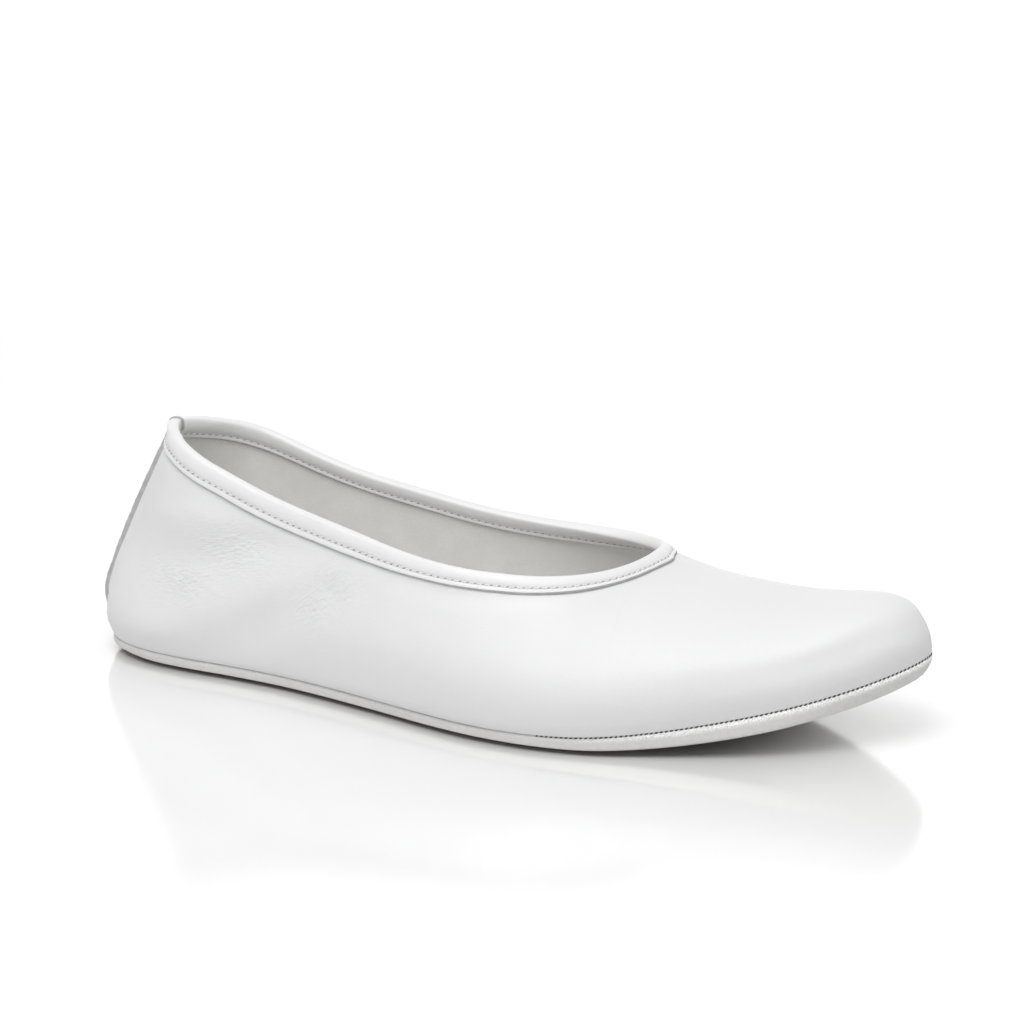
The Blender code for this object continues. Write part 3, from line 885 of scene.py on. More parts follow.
def seam_dip(x):
    """How far the seam between sole and upper sags."""
    middle, half, depth = SEAM_DIP
    return depth * bump(x, middle, half)


def fin_share(z):
    """How much of the back seam stands out at a height."""
    return blend(z, *FIN_RAMP, 0.0, 1.0)


def wrinkle_share(places, patches):
    """Where the quarters have fine wrinkles, from 0 to 1."""
    x, _, z = places.T
    return np.max([bump(x, px, along) * bump(z, pz, up) for px, pz, along, up in patches], axis=0)


def soil_and_shade_share(places, from_sole, from_collar):
    """How much the leather is darkened: towards the sole, and by painted shade under the binding and beside
    the back seam.
    """
    x, y, z = places.T
    share, reach_up = SOLE_DARKENING
    total = share * np.exp(-from_sole / reach_up)
    share, reach_down = COLLAR_SHADE
    total = total + share * np.exp(-np.maximum(from_collar - BINDING_WIDTH, 0.0) / reach_down)
    share, half = BACK_SEAM_SHADE
    return total + share * (x < HEEL_X) * fin_share(z) * bump(y, 0.0, half)


def rim(row, count):
    """Quads that close the wall along a row of its points, from the outside to the inside."""
    return np.stack([row[:-1], row[1:], row[1:] + count, row[:-1] + count], axis=1)


def make_upper(settings):
    """One-piece vamp and quarters, with the lining on the inside of its wall."""
    pairs = loop_stations()
    columns = [column(s, side) for s, side in pairs]
    index, places = merged(np.stack([c[0] for c in columns]))
    count = len(places)
    from_sole = np.zeros(count)
    from_collar = np.zeros(count)
    from_sole[index.ravel()] = np.concatenate([c[1] for c in columns])
    from_collar[index.ravel()] = np.concatenate([c[2] for c in columns])
    quads = grid_quads(index)[:, ::-1]
    normals = vertex_normals(places, quads)
    stand = relief(places, normals, from_sole, from_collar) - back_press(places)
    skin = places + normals * stand[:, None]
    x, y, z = places.T
    flare, flare_half = FLARE
    drawn = flare * fin_share(z) * bump(y, 0.0, flare_half) + back_bulge(z) * bump(y, 0.0, BACK_BULGE_HALF)
    skin[:, 0] -= (x < HEEL_X) * drawn
    inner = places - WALL * normals
    for layer in (skin, inner):
        layer[:, 2] -= seam_dip(x) * np.exp(-from_sole / SEAM_DIP_UP)
    inner[index[:, 0], 2] = skin[index[:, 0], 2]
    outside = cleaned(quads)
    inside = cleaned(grid_quads(index[:, ::2] + count))
    opening = np.array([s <= THROAT_X for s, side in pairs])
    rims = cleaned(np.concatenate([rim(index[:, 0], count), rim(index[opening, -1], count)[:, ::-1]]))
    slots = [0] * len(outside) + [1] * len(inside) + [0] * len(rims)
    values = {
        # Darker towards the sole, painted shade under the binding and beside the back seam
        "edge": np.tile(soil_and_shade_share(places, from_sole, from_collar), 2),
        "wrinkle": np.tile(wrinkle_share(places, WRINKLE_PATCHES), 2),
        "slanted": np.tile(wrinkle_share(places, SLANTED_PATCHES), 2),
    }
    materials = [upper_leather(settings), lining(settings)]
    points, faces, values = used(np.concatenate([skin, inner]), outside + inside + rims, values)
    return build("leather_upper", points, faces, materials, slots, values)


def loft(rings, closed):
    """Points and quads of a skin over rings of points, each ring closed on itself."""
    count = len(rings)
    size = len(rings[0])
    index = np.arange(count * size).reshape(count, size)
    index = np.concatenate([index, index[:, :1]], axis=1)
    if closed:
        index = np.concatenate([index, index[:1]], axis=0)
    return np.concatenate(rings), grid_quads(index)


def collar_stations(side, spacing):
    """Stations of one side's collar from the back seam to the throat, evenly spaced along the edge."""
    ring_count, side_count = COLLAR_SAMPLES
    ring = np.linspace(0.0, HEEL_X, ring_count)[:-1]
    turn = np.sin(np.linspace(0.0, math.pi / 2.0, side_count))
    dense = np.concatenate([ring, HEEL_X + (THROAT_X - HEEL_X) * turn])
    along = run_length(surface(dense, side, collar(dense)))
    count = int(round(along[-1] / spacing))
    return np.interp(np.linspace(0.0, along[-1], count + 1), along, dense)


def evened(line):
    """A line's points, each averaged with the stations around it."""
    weight = np.hanning(2 * EVEN_STATIONS + 3)[1:-1]
    padded = np.pad(line, ((EVEN_STATIONS, EVEN_STATIONS), (0, 0)), mode="edge")
    return np.stack([np.convolve(k, weight / weight.sum(), mode="valid") for k in padded.T], axis=1)


class CollarSide:
    """One side's collar: places a distance down the wall from its edge and out from its surface."""

    def __init__(self, side):
        self.side = side
        self.s = collar_stations(side, BINDING_STEP)
        self.h = collar(self.s)
        self.edge = surface(self.s, side, self.h)
        along, up, self.normal = directions(self.s, side, self.h)
        ahead = np.minimum(self.s + SLOPE_S / 2.0, THROAT_X)
        behind = np.maximum(self.s - SLOPE_S / 2.0, 0.0)
        tangent = surface(ahead, side, collar(ahead)) - surface(behind, side, collar(behind))
        down = unit(np.cross(self.normal, tangent))
        down = np.where(np.sum(down * up, axis=1, keepdims=True) > 0.0, -down, down)
        self.ds, self.dh = self.slide(along, up, down)
        plumb = blend(self.s, *BINDING_PLUMB, 1.0, 0.0)
        self.ds *= 1.0 - plumb
        self.dh += plumb * (-1.0 / np.linalg.norm(up, axis=1) - self.dh)
        front = self.s >= THROAT_X
        self.ds[front] = 1.0 / np.linalg.norm(along[front], axis=1)
        self.dh[front] = 0.0
        self.run = run_length(self.at(self.outside(STITCH_DOWN), 0.0)[0])
        self.wave = waves(self.run, BINDING_WAVES[side])

    @staticmethod
    def slide(along, up, down):
        """Steps in s and h that run in a direction on the surface."""
        aa, au, uu, ad, ud = (
            np.sum(first * second, axis=1)
            for first, second in ((along, along), (along, up), (up, up), (along, down), (up, down)))
        area = aa * uu - au * au
        return (uu * ad - au * ud) / area, (aa * ud - au * ad) / area

    def outside(self, down):
        """Distance down the wall for a distance down the strip's outside leg."""
        run = run_length(self.edge)
        front = THROAT_WIDEN * bump(run, run[-1], THROAT_REACH[self.side])
        return BINDING_TURN + (down - BINDING_TURN) * (BINDING_WIDTH_AT(self.s) + front)

    def at(self, down, out):
        """Points down the wall and out from it, and the normals there."""
        s = self.s + self.ds * down
        crossing = (s < HEEL_X) & (self.s >= HEEL_X)
        ring = directions(np.full_like(s, HEEL_X - 2.0 * SLOPE_S), self.side, self.h)[0]
        back = HEEL_X - (HEEL_X - s) / np.linalg.norm(ring, axis=1)
        s = np.maximum(np.where(crossing, back, s), 0.0)
        h = np.minimum(self.h + self.dh * down, 2.0)
        normal = directions(s, self.side, h)[2]
        fall = surface(s, self.side, h) + normal * np.asarray(out)[..., None] - self.edge
        # Where the heel's ring meets the side, the fall from the edge is evened out
        near = bump(self.s, HEEL_X, EVEN_HALF)[:, None]
        return self.edge + fall + near * (evened(fall) - fall), normal

    def roll(self, share):
        """Points on the fold over the edge: share 0 outside, 1 inside."""
        first = BINDING_OUTER[-1][1]
        last = -WALL - BINDING_INNER[0][1]
        turn = math.pi * share
        across = 0.5 * (first + last) + 0.5 * (first - last) * math.cos(turn)
        rise = unit(self.edge - self.at(1.0, 0.0)[0])
        height = BINDING_ROLL_AT(self.s)[:, None] * math.sin(turn)
        return self.edge + rise * height + self.normal * across


def round_collar(lateral, medial):
    """Lines of the two sides as one closed line from the back seam round the throat."""
    return np.concatenate([lateral, medial[-2:0:-1]])


def make_binding(settings):
    """Folded strip round the foot opening, pressed in along its stitch row."""
    sides = [CollarSide(-1), CollarSide(1)]
    pitch = settings.stitch_pitch / MM
    rows = []
    cut = []
    dent_shade = []

    def add(make, is_cut=False, dent=0.0):
        """Take up one line round the collar, made for each side."""
        rows.append(round_collar(*[make(c) for c in sides]))
        cut.append(is_cut)
        dent_shade.append(dent)

    for down, out in BINDING_OUTER:
        below = down - STITCH_DOWN
        dent = bump(down, STITCH_DOWN, DENT_HALF[0])
        puff = blend(below, -PUFF_ABOVE, 0.0, 1.0, 0.0) + blend(below, *PUFF_BELOW, 0.0, PUFF_LOW)
        is_cut = down > BINDING_CUT[0]

        def outside(c):
            phase = np.cos(2.0 * math.pi * c.run / pitch)
            swell = puff * c.wave * blend(c.s, *WAVE_CLEAR, 0.0, 1.0)
            lift = out - DENT_DEPTH * dent * (1.0 + phase) + swell
            return c.at(c.outside(down) + CUT_WAVE * c.wave * is_cut, np.maximum(lift, BINDING_LEAST))[0]

        add(outside, is_cut, dent)
    for k in range(1, BINDING_ROLL_STEPS):
        add(lambda c: c.roll(k / BINDING_ROLL_STEPS))
    for down, out in BINDING_INNER:
        dent = bump(down, STITCH_DOWN_INSIDE, DENT_HALF[1])
        add(lambda c: c.at(down, -WALL - out)[0], down > BINDING_CUT[1], dent)
    inside = -WALL - BINDING_CLEAR
    for down, out in ((BINDING_BACK, inside), (BINDING_TURN, inside),
                      (BINDING_TURN, BINDING_CLEAR), (BINDING_BACK, BINDING_CLEAR)):
        add(lambda c: c.at(down, out)[0])
    rings = np.stack(rows, axis=1)
    points, quads = loft(list(rings), closed=True)
    slots = np.tile(np.array(cut) & np.roll(cut, -1), len(rings)).astype(int)
    # Painted shade in the dent along the stitch rows
    values = {"row": np.tile(dent_shade, len(rings))}
    materials = [binding_leather(settings), raw_edge("binding_cut_edge", settings.raw)]
    return build("binding_strip", points, outward(points, quads), materials, slots, values)


def outward(points, quads):
    """Faces of a closed skin, turned so that they point out."""
    a, b, c, d = (points[quads[:, k]] for k in range(4))
    volume = np.sum(np.cross(a, b) * c) + np.sum(np.cross(a, c) * d)
    return cleaned(quads if volume > 0.0 else quads[:, ::-1])


def fin_line():
    """Line of the back seam: points on the wall, over the binding and down inside, with their outward
    directions and the height of the raw edges above each."""
    fine = np.linspace(FIN_FROM, float(collar(0.0)), FIN_SAMPLES)
    wall = surface(np.zeros_like(fine), -1, fine)
    keep = wall[:, 2] > FIN_RAMP[0]
    along = run_length(wall[keep])
    even = np.linspace(0.0, along[-1], FIN_STEPS)
    points = surface(np.zeros(FIN_STEPS), -1, np.interp(even, along, fine[keep]))
    slope = np.gradient(points, axis=0)
    out = unit(np.stack([-slope[:, 2], np.zeros(FIN_STEPS), slope[:, 0]], axis=1))
    down = along[-1] - even
    first = BINDING_OUTER[-1][1]
    last = WALL + BINDING_INNER[0][1]
    height = blend(points[:, 2], *FIN_RAMP, -FIN_SUNK, FIN_HEIGHT) + back_bulge(points[:, 2])
    on_binding = blend(down - BINDING_WIDTH, *FIN_CLIMB, 1.0, 0.0)
    height = height + on_binding * (first + FIN_OVER - height)
    lines = list(zip(points, out, height))
    rise = unit(slope[-1])
    middle = points[-1] + out[-1] * (first - last) / 2.0
    half = (first + last) / 2.0
    fold = float(BINDING_ROLL_AT(0.0))
    for turn in np.linspace(0.0, math.pi, FIN_FOLD_STEPS + 1)[1:]:
        here = middle + out[-1] * half * math.cos(turn) + rise * fold * math.sin(turn)
        way = out[-1] * fold * math.cos(turn) + rise * half * math.sin(turn)
        lines.append((here, unit(way), FIN_OVER))
    step, sink_from, sunk = FIN_END
    for k in range(1, FIN_INSIDE_STEPS + 1):
        here = points[np.argmin(np.abs(down - step * k))] - out[-1] * last
        lines.append((here, -out[-1], blend(k, sink_from, FIN_INSIDE_STEPS, FIN_OVER, FIN_OVER - sunk)))
    return lines


def make_back_seam(settings):
    """Two raw edges of the quarters sewn together, standing out as a fin up the heel and over the collar,
    grey all over: raw edges on its crest and painted shade on its flanks.
    """
    rings = []
    across = np.array([0.0, 1.0, 0.0])
    for k, (point, way, height) in enumerate(fin_line()):
        share = min(1.0, max(FIN_LOW, height / FIN_HEIGHT))
        width = FIN_NARROW + (1.0 - FIN_NARROW) * share
        crest = point + way * (height + waves(k, FIN_WAVES) * share)
        ring = [crest + across * y * width + way * z * share for y, z in FIN_PROFILE]
        root = point - way * FIN_ROOT
        ring += [root + across * FIN_PROFILE[-1][0], root + across * FIN_PROFILE[0][0]]
        rings.append(np.array(ring))
    points, quads = loft(rings, closed=False)
    start = np.arange(len(rings[0]))
    end = len(points) - 1 - start
    caps = [start.tolist(), end.tolist()]
    faces = outward(points, quads) + caps
    # Raw grey on the crest, painted shade on the flanks
    return build("back_seam", points, faces, [raw_edge("seam_raw_edge", settings.raw)])


def sole_outline():
    """Closed outline of the sole's top edge, evenly divided, and its outward directions in plan."""
    one = stations()
    lines = []
    for side in (-1, 1):
        run = run_length(surface(one, side, 0.0))
        even = np.interp(np.linspace(0.0, run[-1], OUTLINE_STEPS + 1), run, one)
        lines.append(surface(even, side, 0.0))
    outline = np.concatenate([lines[0], lines[1][-2:0:-1]])
    along = np.roll(outline, -1, axis=0) - np.roll(outline, 1, axis=0)
    return outline, unit(np.stack([-along[:, 1], along[:, 0], np.zeros(len(along))], axis=1))


def plate(rings, dish=0.0):
    """Closed skin from rings of points, with strips across the first and last, and the last one dished."""
    count = len(rings[0])
    half = count // 2
    points, quads = loft(rings, closed=False)
    points = [points]
    quads = [quads]
    total = len(rings) * count
    share = np.linspace(0.0, 1.0, TREAD_STRIPS + 1)[1:-1]
    size = (half + 1, TREAD_STRIPS - 1)
    for ring, start, last in ((rings[0], 0, False), (rings[-1], total - count, True)):
        index = np.zeros((half + 1, TREAD_STRIPS + 1), int)
        index[:, 0] = start + np.arange(half + 1)
        index[:, -1] = start + (count - np.arange(half + 1)) % count
        one = ring[index[:, 0] - start]
        other = ring[index[:, -1] - start]
        across = one[:, None] + (other - one)[:, None] * share[None, :, None]
        if last:
            depth = dish * np.minimum(1.0, np.linalg.norm(other - one, axis=1) / DISH_WIDTH)
            across[..., 2] -= depth[:, None] * np.sin(math.pi * share) ** DISH_POWER
        index[:, 1:-1] = total + np.arange(size[0] * size[1]).reshape(size)
        # The two ends of the plate run to a point
        index[0] = index[0, 0]
        index[-1] = index[-1, 0]
        total += size[0] * size[1]
        points.append(across.reshape(-1, 3))
        quads.append(grid_quads(index)[:, ::-1] if last else grid_quads(index))
    return np.concatenate(points), np.concatenate(quads)


def used(points, faces, values):
    """Points, faces and point values without the points that no face uses."""
    keep = np.unique(np.concatenate([np.array(f) for f in faces]))
    number = np.full(len(points), -1)
    number[keep] = np.arange(len(keep))
    faces = [number[f].tolist() for f in faces]
    return points[keep], faces, {key: value[keep] for key, value in values.items()}


def make_sole(settings):
    """Soft leather sole with a rounded edge, flat from the heel to the ball, with toe spring."""
    outline, out = sole_outline()
    x = outline[:, 0]
    foot = SOLE_FOOT + blend(x, *SOLE_FOOT_RAMP, SOLE_FOOT_BACK, 0.0)
    toe = blend(x, *SOLE_ROUND_RAMP, 0.0, SOLE_TOE_ROUND)
    rise = sole_top(x) - spring(x) - seam_dip(x)
    uneven = waves(run_length(outline), SOLE_WAVES)
    reach_in = SOLE_UNDER_REACH * blend(x, *SOLE_UNDER_RAMP, 1.0, SOLE_UNDER_TOE)
    lowest, highest = SOLE_UNEVEN
    rings = []
    for offset, level in SOLE_EDGE:
        shift = offset + uneven * (lowest < level < highest) - toe * (1.0 - level) ** 2
        ring = outline + out * shift[:, None]
        ring[:, 2] = spring(ring[:, 0]) + foot + level * (rise - foot)
        rings.append(ring)
    for share, height in SOLE_UNDER:
        ring = outline + out * (SOLE_EDGE[-1][0] - toe - share * reach_in)[:, None]
        ring[:, 2] = spring(ring[:, 0]) + height * foot
        rings.append(ring)
    points, quads = plate(rings)
    # Rows from the top of the edge to the tread, and then the strips across the top and the tread
    strips = len(points) - len(rings) * len(outline)
    tread = [0.0] * (len(SOLE_EDGE) - 1) + [0.5] + [1.0] * len(SOLE_UNDER)
    tread = np.concatenate([np.repeat(tread, len(outline)), np.repeat([0.0, 1.0], strips // 2)])
    # Painted highlight on the upper part of the edge, full towards the toe
    lip = [blend(level, *SOLE_HIGHLIGHT_LEVELS, 0.0, 1.0) for _, level in SOLE_EDGE] + [0.0] * len(SOLE_UNDER)
    lip = np.outer(lip, blend(x, SOLE_STITCH_FROM, SOLE_HIGHLIGHT_FULL, SOLE_HIGHLIGHT_HEEL, 1.0))
    values = {
        "tread": tread * blend(points[:, 0], *TREAD_END, 1.0, 0.0),
        "lip": np.concatenate([lip.ravel(), np.zeros(strips)]),
    }
    points, faces, values = used(points, outward(points, quads), values)
    return build("leather_sole", points, faces, [sole_leather(settings)], None, values)


def make_insole(settings):
    """Cloth-covered insole with a soft edge and a shallow dish."""
    outline, out = sole_outline()
    rings = []
    for offset, height in INSOLE_EDGE:
        ring = outline - out * (INSOLE_INSET + offset)
        ring[:, 2] = sole_top(ring[:, 0]) + GAP + height
        rings.append(ring)
    points, quads = plate(rings, INSOLE_DISH)
    points, faces, _ = used(points, outward(points, quads), {})
    return build("cloth_insole", points, faces, [insole_cloth(settings)])


STITCH_INPUTS = {
    "Geometry": "Geometry", "Points": "Int", "First": "Int", "Length": "Float", "Radius": "Float",
    "Rise": "Float", "Sink": "Float", "Slant": "Float", "Spread": "Float", "Seed": "Int",
    "Material": "Material",
}


def stitch_tree():
    """Geometry nodes that lay a small arched thread on every second point of a line."""
    tree = bpy.data.node_groups.new("stitch_row", "GeometryNodeTree")
    for name, kind in STITCH_INPUTS.items():
        tree.interface.new_socket(name, in_out="INPUT", socket_type="NodeSocket" + kind)
    tree.interface.new_socket("Geometry", in_out="OUTPUT", socket_type="NodeSocketGeometry")
    given = tree.nodes.new("NodeGroupInput").outputs

    def add(kind, settings=None, sockets=None, output=0):
        return new_node(tree, kind, settings, sockets).outputs[output]

    def scalar(operation, first, second):
        return add("ShaderNodeMath", {"operation": operation}, {0: first, 1: second})

    def point(x, y, z):
        return add("ShaderNodeCombineXYZ", {}, {0: x, 1: y, 2: z})

    def stored(name):
        return add("GeometryNodeInputNamedAttribute", {"data_type": "FLOAT_VECTOR"}, {"Name": name})

    line = add("GeometryNodeMeshToCurve", {}, {"Mesh": given["Geometry"]})
    row = add("GeometryNodeResampleCurve", {"mode": "COUNT"}, {"Curve": line, "Count": given["Points"]})
    lie = add("FunctionNodeAlignRotationToVector", {"axis": "X"}, {"Vector": stored("along")})
    stand = add("FunctionNodeAlignRotationToVector", {"axis": "Z", "pivot_axis": "X"}, {
        "Rotation": lie, "Vector": stored("out")})
    jitter = add("FunctionNodeRandomValue", {"data_type": "FLOAT"}, {
        2: scalar("MULTIPLY", given["Spread"], -1.0), 3: given["Spread"], "Seed": given["Seed"]}, output=1)
    turn = add("FunctionNodeAxisAngleToRotation", {}, {
        "Axis": (0.0, 0.0, 1.0), "Angle": scalar("ADD", given["Slant"], jitter)})
    turned = add("FunctionNodeRotateRotation", {"rotation_space": "LOCAL"}, {
        "Rotation": stand, "Rotate By": turn})
    parity = scalar("MODULO", add("GeometryNodeInputIndex"), 2.0)
    chosen = add("FunctionNodeCompare", {"data_type": "FLOAT", "operation": "EQUAL"}, {
        0: parity, 1: given["First"], "Epsilon": 0.1})
    half = scalar("MULTIPLY", given["Length"], 0.5)
    low = scalar("MULTIPLY", given["Sink"], -1.0)
    thread = add("GeometryNodeCurveQuadraticBezier", {}, {
        "Resolution": THREAD_POINTS, "Start": point(scalar("MULTIPLY", half, -1.0), 0.0, low),
        "Middle": point(0.0, 0.0, given["Rise"]), "End": point(half, 0.0, low)})
    ring = add("GeometryNodeCurvePrimitiveCircle", {"mode": "RADIUS"}, {
        "Resolution": THREAD_SIDES, "Radius": given["Radius"]})
    stitch = add("GeometryNodeCurveToMesh", {}, {"Curve": thread, "Profile Curve": ring, "Fill Caps": True})
    laid = add("GeometryNodeInstanceOnPoints", {}, {
        "Points": row, "Selection": chosen, "Instance": stitch, "Rotation": turned})
    real = add("GeometryNodeRealizeInstances", {}, {"Geometry": laid})
    smooth = add("GeometryNodeSetShadeSmooth", {}, {"Geometry": real})
    painted = add("GeometryNodeSetMaterial", {}, {"Geometry": smooth, "Material": given["Material"]})
    new_node(tree, "NodeGroupOutput", {}, {"Geometry": painted})
    return tree


def stitch_row(name, points, out, tree, inputs):
    """Stitches along a line of points in millimetres, made by the tree and kept as a plain mesh."""
    mesh = bpy.data.meshes.new(name)
    edges = [(i, i + 1) for i in range(len(points) - 1)]
    mesh.from_pydata(placed(points).tolist(), edges, [])
    along = unit(np.gradient(points, axis=0))
    for key, vectors in (("along", along), ("out", out)):
        layer = mesh.attributes.new(key, "FLOAT_VECTOR", "POINT")
        layer.data.foreach_set("vector", np.asarray(vectors, np.float32).ravel())
    thing = bpy.data.objects.new(name, mesh)
    bpy.context.scene.collection.objects.link(thing)
    modifier = thing.modifiers.new("stitches", "NODES")
    modifier.node_group = tree
    for socket in tree.interface.items_tree:
        if socket.in_out == "INPUT" and socket.name in inputs:
            modifier[socket.identifier] = inputs[socket.name]
    graph = bpy.context.evaluated_depsgraph_get()
    plain = bpy.data.meshes.new_from_object(thing.evaluated_get(graph), depsgraph=graph)
    thing.modifiers.clear()
    thing.data = plain
    bpy.data.meshes.remove(mesh)
    plain.name = name
    if not plain.polygons:
        raise RuntimeError(name + " came out empty")
    return thing


def stitch_inputs(points, pitch, first, seed, material, size, length, style):
    """Values of the tree's inputs for a row along a line of points; sizes and pitch are in metres."""
    radius, rise, sink, slant, spread = style
    count = 2 * int(round(run_length(points)[-1] * MM / pitch)) + 1
    return {
        "Points": count, "First": first, "Seed": seed, "Material": material, "Length": length,
        "Radius": radius * size, "Rise": rise * size, "Sink": sink * size, "Slant": slant, "Spread": spread,
    }


def collar_row(down, out):
    """Line along the whole collar, from beside the back seam round to its other side, and its normals."""
    outside = out > 0.0
    lines = []
    for c in (CollarSide(-1), CollarSide(1)):
        points, normal = c.at(c.outside(down) if outside else down, out)
        keep = run_length(points) > STITCH_START
        lines.append((points[keep], normal[keep] if outside else -normal[keep]))
    return [np.concatenate([lateral, medial[-2::-1]]) for lateral, medial in zip(*lines)]


def make_binding_stitches(settings, tree):
    """Rows of thread that hold the binding, outside and inside, with a dark mark between stitches that paints
    the shade of the needle hole.
    """
    white = thread_finish("binding_thread", settings.thread_colour)
    # Dark marks between the stitches: painted shade of the needle holes
    dark = raw_edge("needle_hole", settings.hole_shade)
    kinds = (
        ("binding_stitches_", white, 1, settings.stitch_length, BINDING_STITCH),
        ("binding_holes_", dark, 0, HOLE_LENGTH * MM, NEEDLE_HOLE),
    )
    made = []
    for label, down, out in (("outside", STITCH_DOWN, STITCH_OUT),
                             ("inside", STITCH_DOWN_INSIDE, -WALL - STITCH_OUT_INSIDE)):
        points, normals = collar_row(down, out)
        for name, material, first, length, style in kinds:
            inputs = stitch_inputs(points, settings.stitch_pitch, first, BINDING_SEED, material,
                                   settings.thread, length, style)
            made.append(stitch_row(name + label, points, normals, tree, inputs))
    return made


def seam_line(inset):
    """Line along the seam between sole and upper, and its outward directions, from the toe round the heel."""
    outline, out = sole_outline()
    line = outline - out * inset
    line[:, 2] = sole_top(outline[:, 0]) - seam_dip(outline[:, 0]) + GAP / 2.0
    return line, out


def make_seam(settings):
    """Thin grey seam that runs round the shoe between the sole and the upper."""
    line, out = seam_line(SEAM_SET_BACK)
    rings = []
    up = np.array([0.0, 0.0, 1.0])
    radius = settings.seam / MM / 2.0
    for turn in np.linspace(0.0, 2.0 * math.pi, SEAM_SIDES + 1)[:-1]:
        rings.append(line + radius * (out * math.cos(turn) + up * math.sin(turn)))
    points, quads = loft(list(np.stack(rings, axis=1)), closed=True)
    return build("sole_seam", points, outward(points, quads), [raw_edge("seam_thread", settings.seam_colour)])


def make_sole_stitches(settings, tree):
    """Short stitches that show in the seam round the forefoot and toe."""
    line, out = seam_line(SEAM_SET_BACK - SEAM_STITCH_OUT)
    shift = len(line) // 2 - np.argmax(line[:, 0])
    line = np.roll(line, shift, axis=0)
    out = np.roll(out, shift, axis=0)
    keep = line[:, 0] > SOLE_STITCH_FROM
    dark = thread_finish("seam_stitch", settings.seam_stitch)
    inputs = stitch_inputs(line[keep], settings.seam_pitch, 0, SEAM_SEED, dark, settings.seam,
                           settings.seam_pitch * SEAM_STITCH_LENGTH, SEAM_STITCH)
    return stitch_row("sole_stitches", line[keep], out[keep], tree, inputs)


def camera_matrix():
    """The camera's place and turn in the frame."""
    around = math.radians(CAMERA_AZIMUTH)
    rise = math.radians(CAMERA_ELEVATION)
    back = Vector((math.sin(around) * math.cos(rise), -math.cos(around) * math.cos(rise), math.sin(rise)))
    place = Vector(placed(CAMERA_AIM)) + back * CAMERA_DISTANCE * MM
    right = Vector((0.0, 0.0, 1.0)).cross(back).normalized()
    up = back.cross(right)
    level = Matrix((right, up, back)).transposed()
    pan = Matrix.Rotation(-math.radians(CAMERA_PAN), 3, "Y")
    tilt = Matrix.Rotation(math.radians(CAMERA_TILT), 3, "X")
    roll = Matrix.Rotation(math.radians(CAMERA_ROLL), 3, "Z")
    return Matrix.Translation(place) @ (level @ pan @ tilt @ roll).to_4x4()


def make_camera():
    """Camera at the fitted place."""
    data = bpy.data.cameras.new("studio_camera")
    data.sensor_width = SENSOR_WIDTH
    data.lens = CAMERA_FOCUS * SENSOR_WIDTH / IMAGE_WIDTH
    data.clip_start, data.clip_end = CAMERA_CLIP
    camera = bpy.data.objects.new("studio_camera", data)
    bpy.context.scene.collection.objects.link(camera)
    camera.matrix_world = camera_matrix()
    bpy.context.scene.camera = camera


def make_light(name, place, watts):
    """A large soft lamp, turned to the shoe."""
    data = bpy.data.lights.new(name, "AREA")
    data.size = LAMP_SIZE
    data.energy = watts
    lamp = bpy.data.objects.new(name, data)
    bpy.context.scene.collection.objects.link(lamp)
    lamp.location = place
    lamp.rotation_euler = (-Vector(place)).to_track_quat("-Z", "Y").to_euler()


def make_floor(settings):
    """Round pale floor under the shoe."""
    turn = np.linspace(0.0, 2.0 * math.pi, FLOOR_SIDES + 1)[:-1]
    radius = settings.floor_reach
    ring = [(radius * math.cos(t), radius * math.sin(t), -FLOOR_DROP) for t in turn]
    mesh = bpy.data.meshes.new("studio_floor")
    mesh.from_pydata(ring, [], [list(range(len(ring)))])
    mesh.materials.append(floor_finish(settings))
    floor = bpy.data.objects.new("studio_floor", mesh)
    bpy.context.scene.collection.objects.link(floor)
    return floor


def make_world(settings):
    """White surroundings, brighter behind the shoe, dimmer before its toe and overhead."""
    world = bpy.data.worlds.new("studio")
    world.use_nodes = True
    tree = world.node_tree
    sky = tree.nodes["Background"]
    sky.inputs["Color"].default_value = (1.0, 1.0, 1.0, 1.0)
    direction = new_node(tree, "ShaderNodeTexCoord").outputs["Generated"]
    way = new_node(tree, "ShaderNodeSeparateXYZ", {}, {0: direction})
    beside, behind, high = (Value(tree, way.outputs[axis]) for axis in "XYZ")
    behind = behind.math("MAXIMUM", behind, 0.0)
    beside = beside.math("MAXIMUM", beside, 0.0)
    low_end, high_end = CEILING_RAMP
    ramp = new_node(tree, "ShaderNodeMapRange", {"interpolation_type": "SMOOTHSTEP"}, {
        "Value": high, "From Min": low_end, "From Max": high_end})
    above = Value(tree, ramp.outputs["Result"])
    level = settings.surround + settings.backdrop * behind * behind - settings.toe_side * beside * beside
    connect(tree, sky.inputs["Strength"], level * (1.0 - above) + settings.ceiling * above)
    bpy.context.scene.world = world
    bpy.context.scene.view_settings.view_transform = "Standard"


def colour_prop(name, text, value):
    """A colour that a user may change."""
    return FloatVectorProperty(
        name=name, description=text, default=value, subtype="COLOR", size=3, min=0.0, max=1.0)


def length_prop(name, text, value):
    """A length in metres that a user may change."""
    return amount_prop(name, text, value, subtype="DISTANCE", unit="LENGTH", precision=5)


def amount_prop(name, text, value, **kind):
    """A number from 0 up that a user may change."""
    return FloatProperty(name=name, description=text, default=value, min=0.0, **kind)


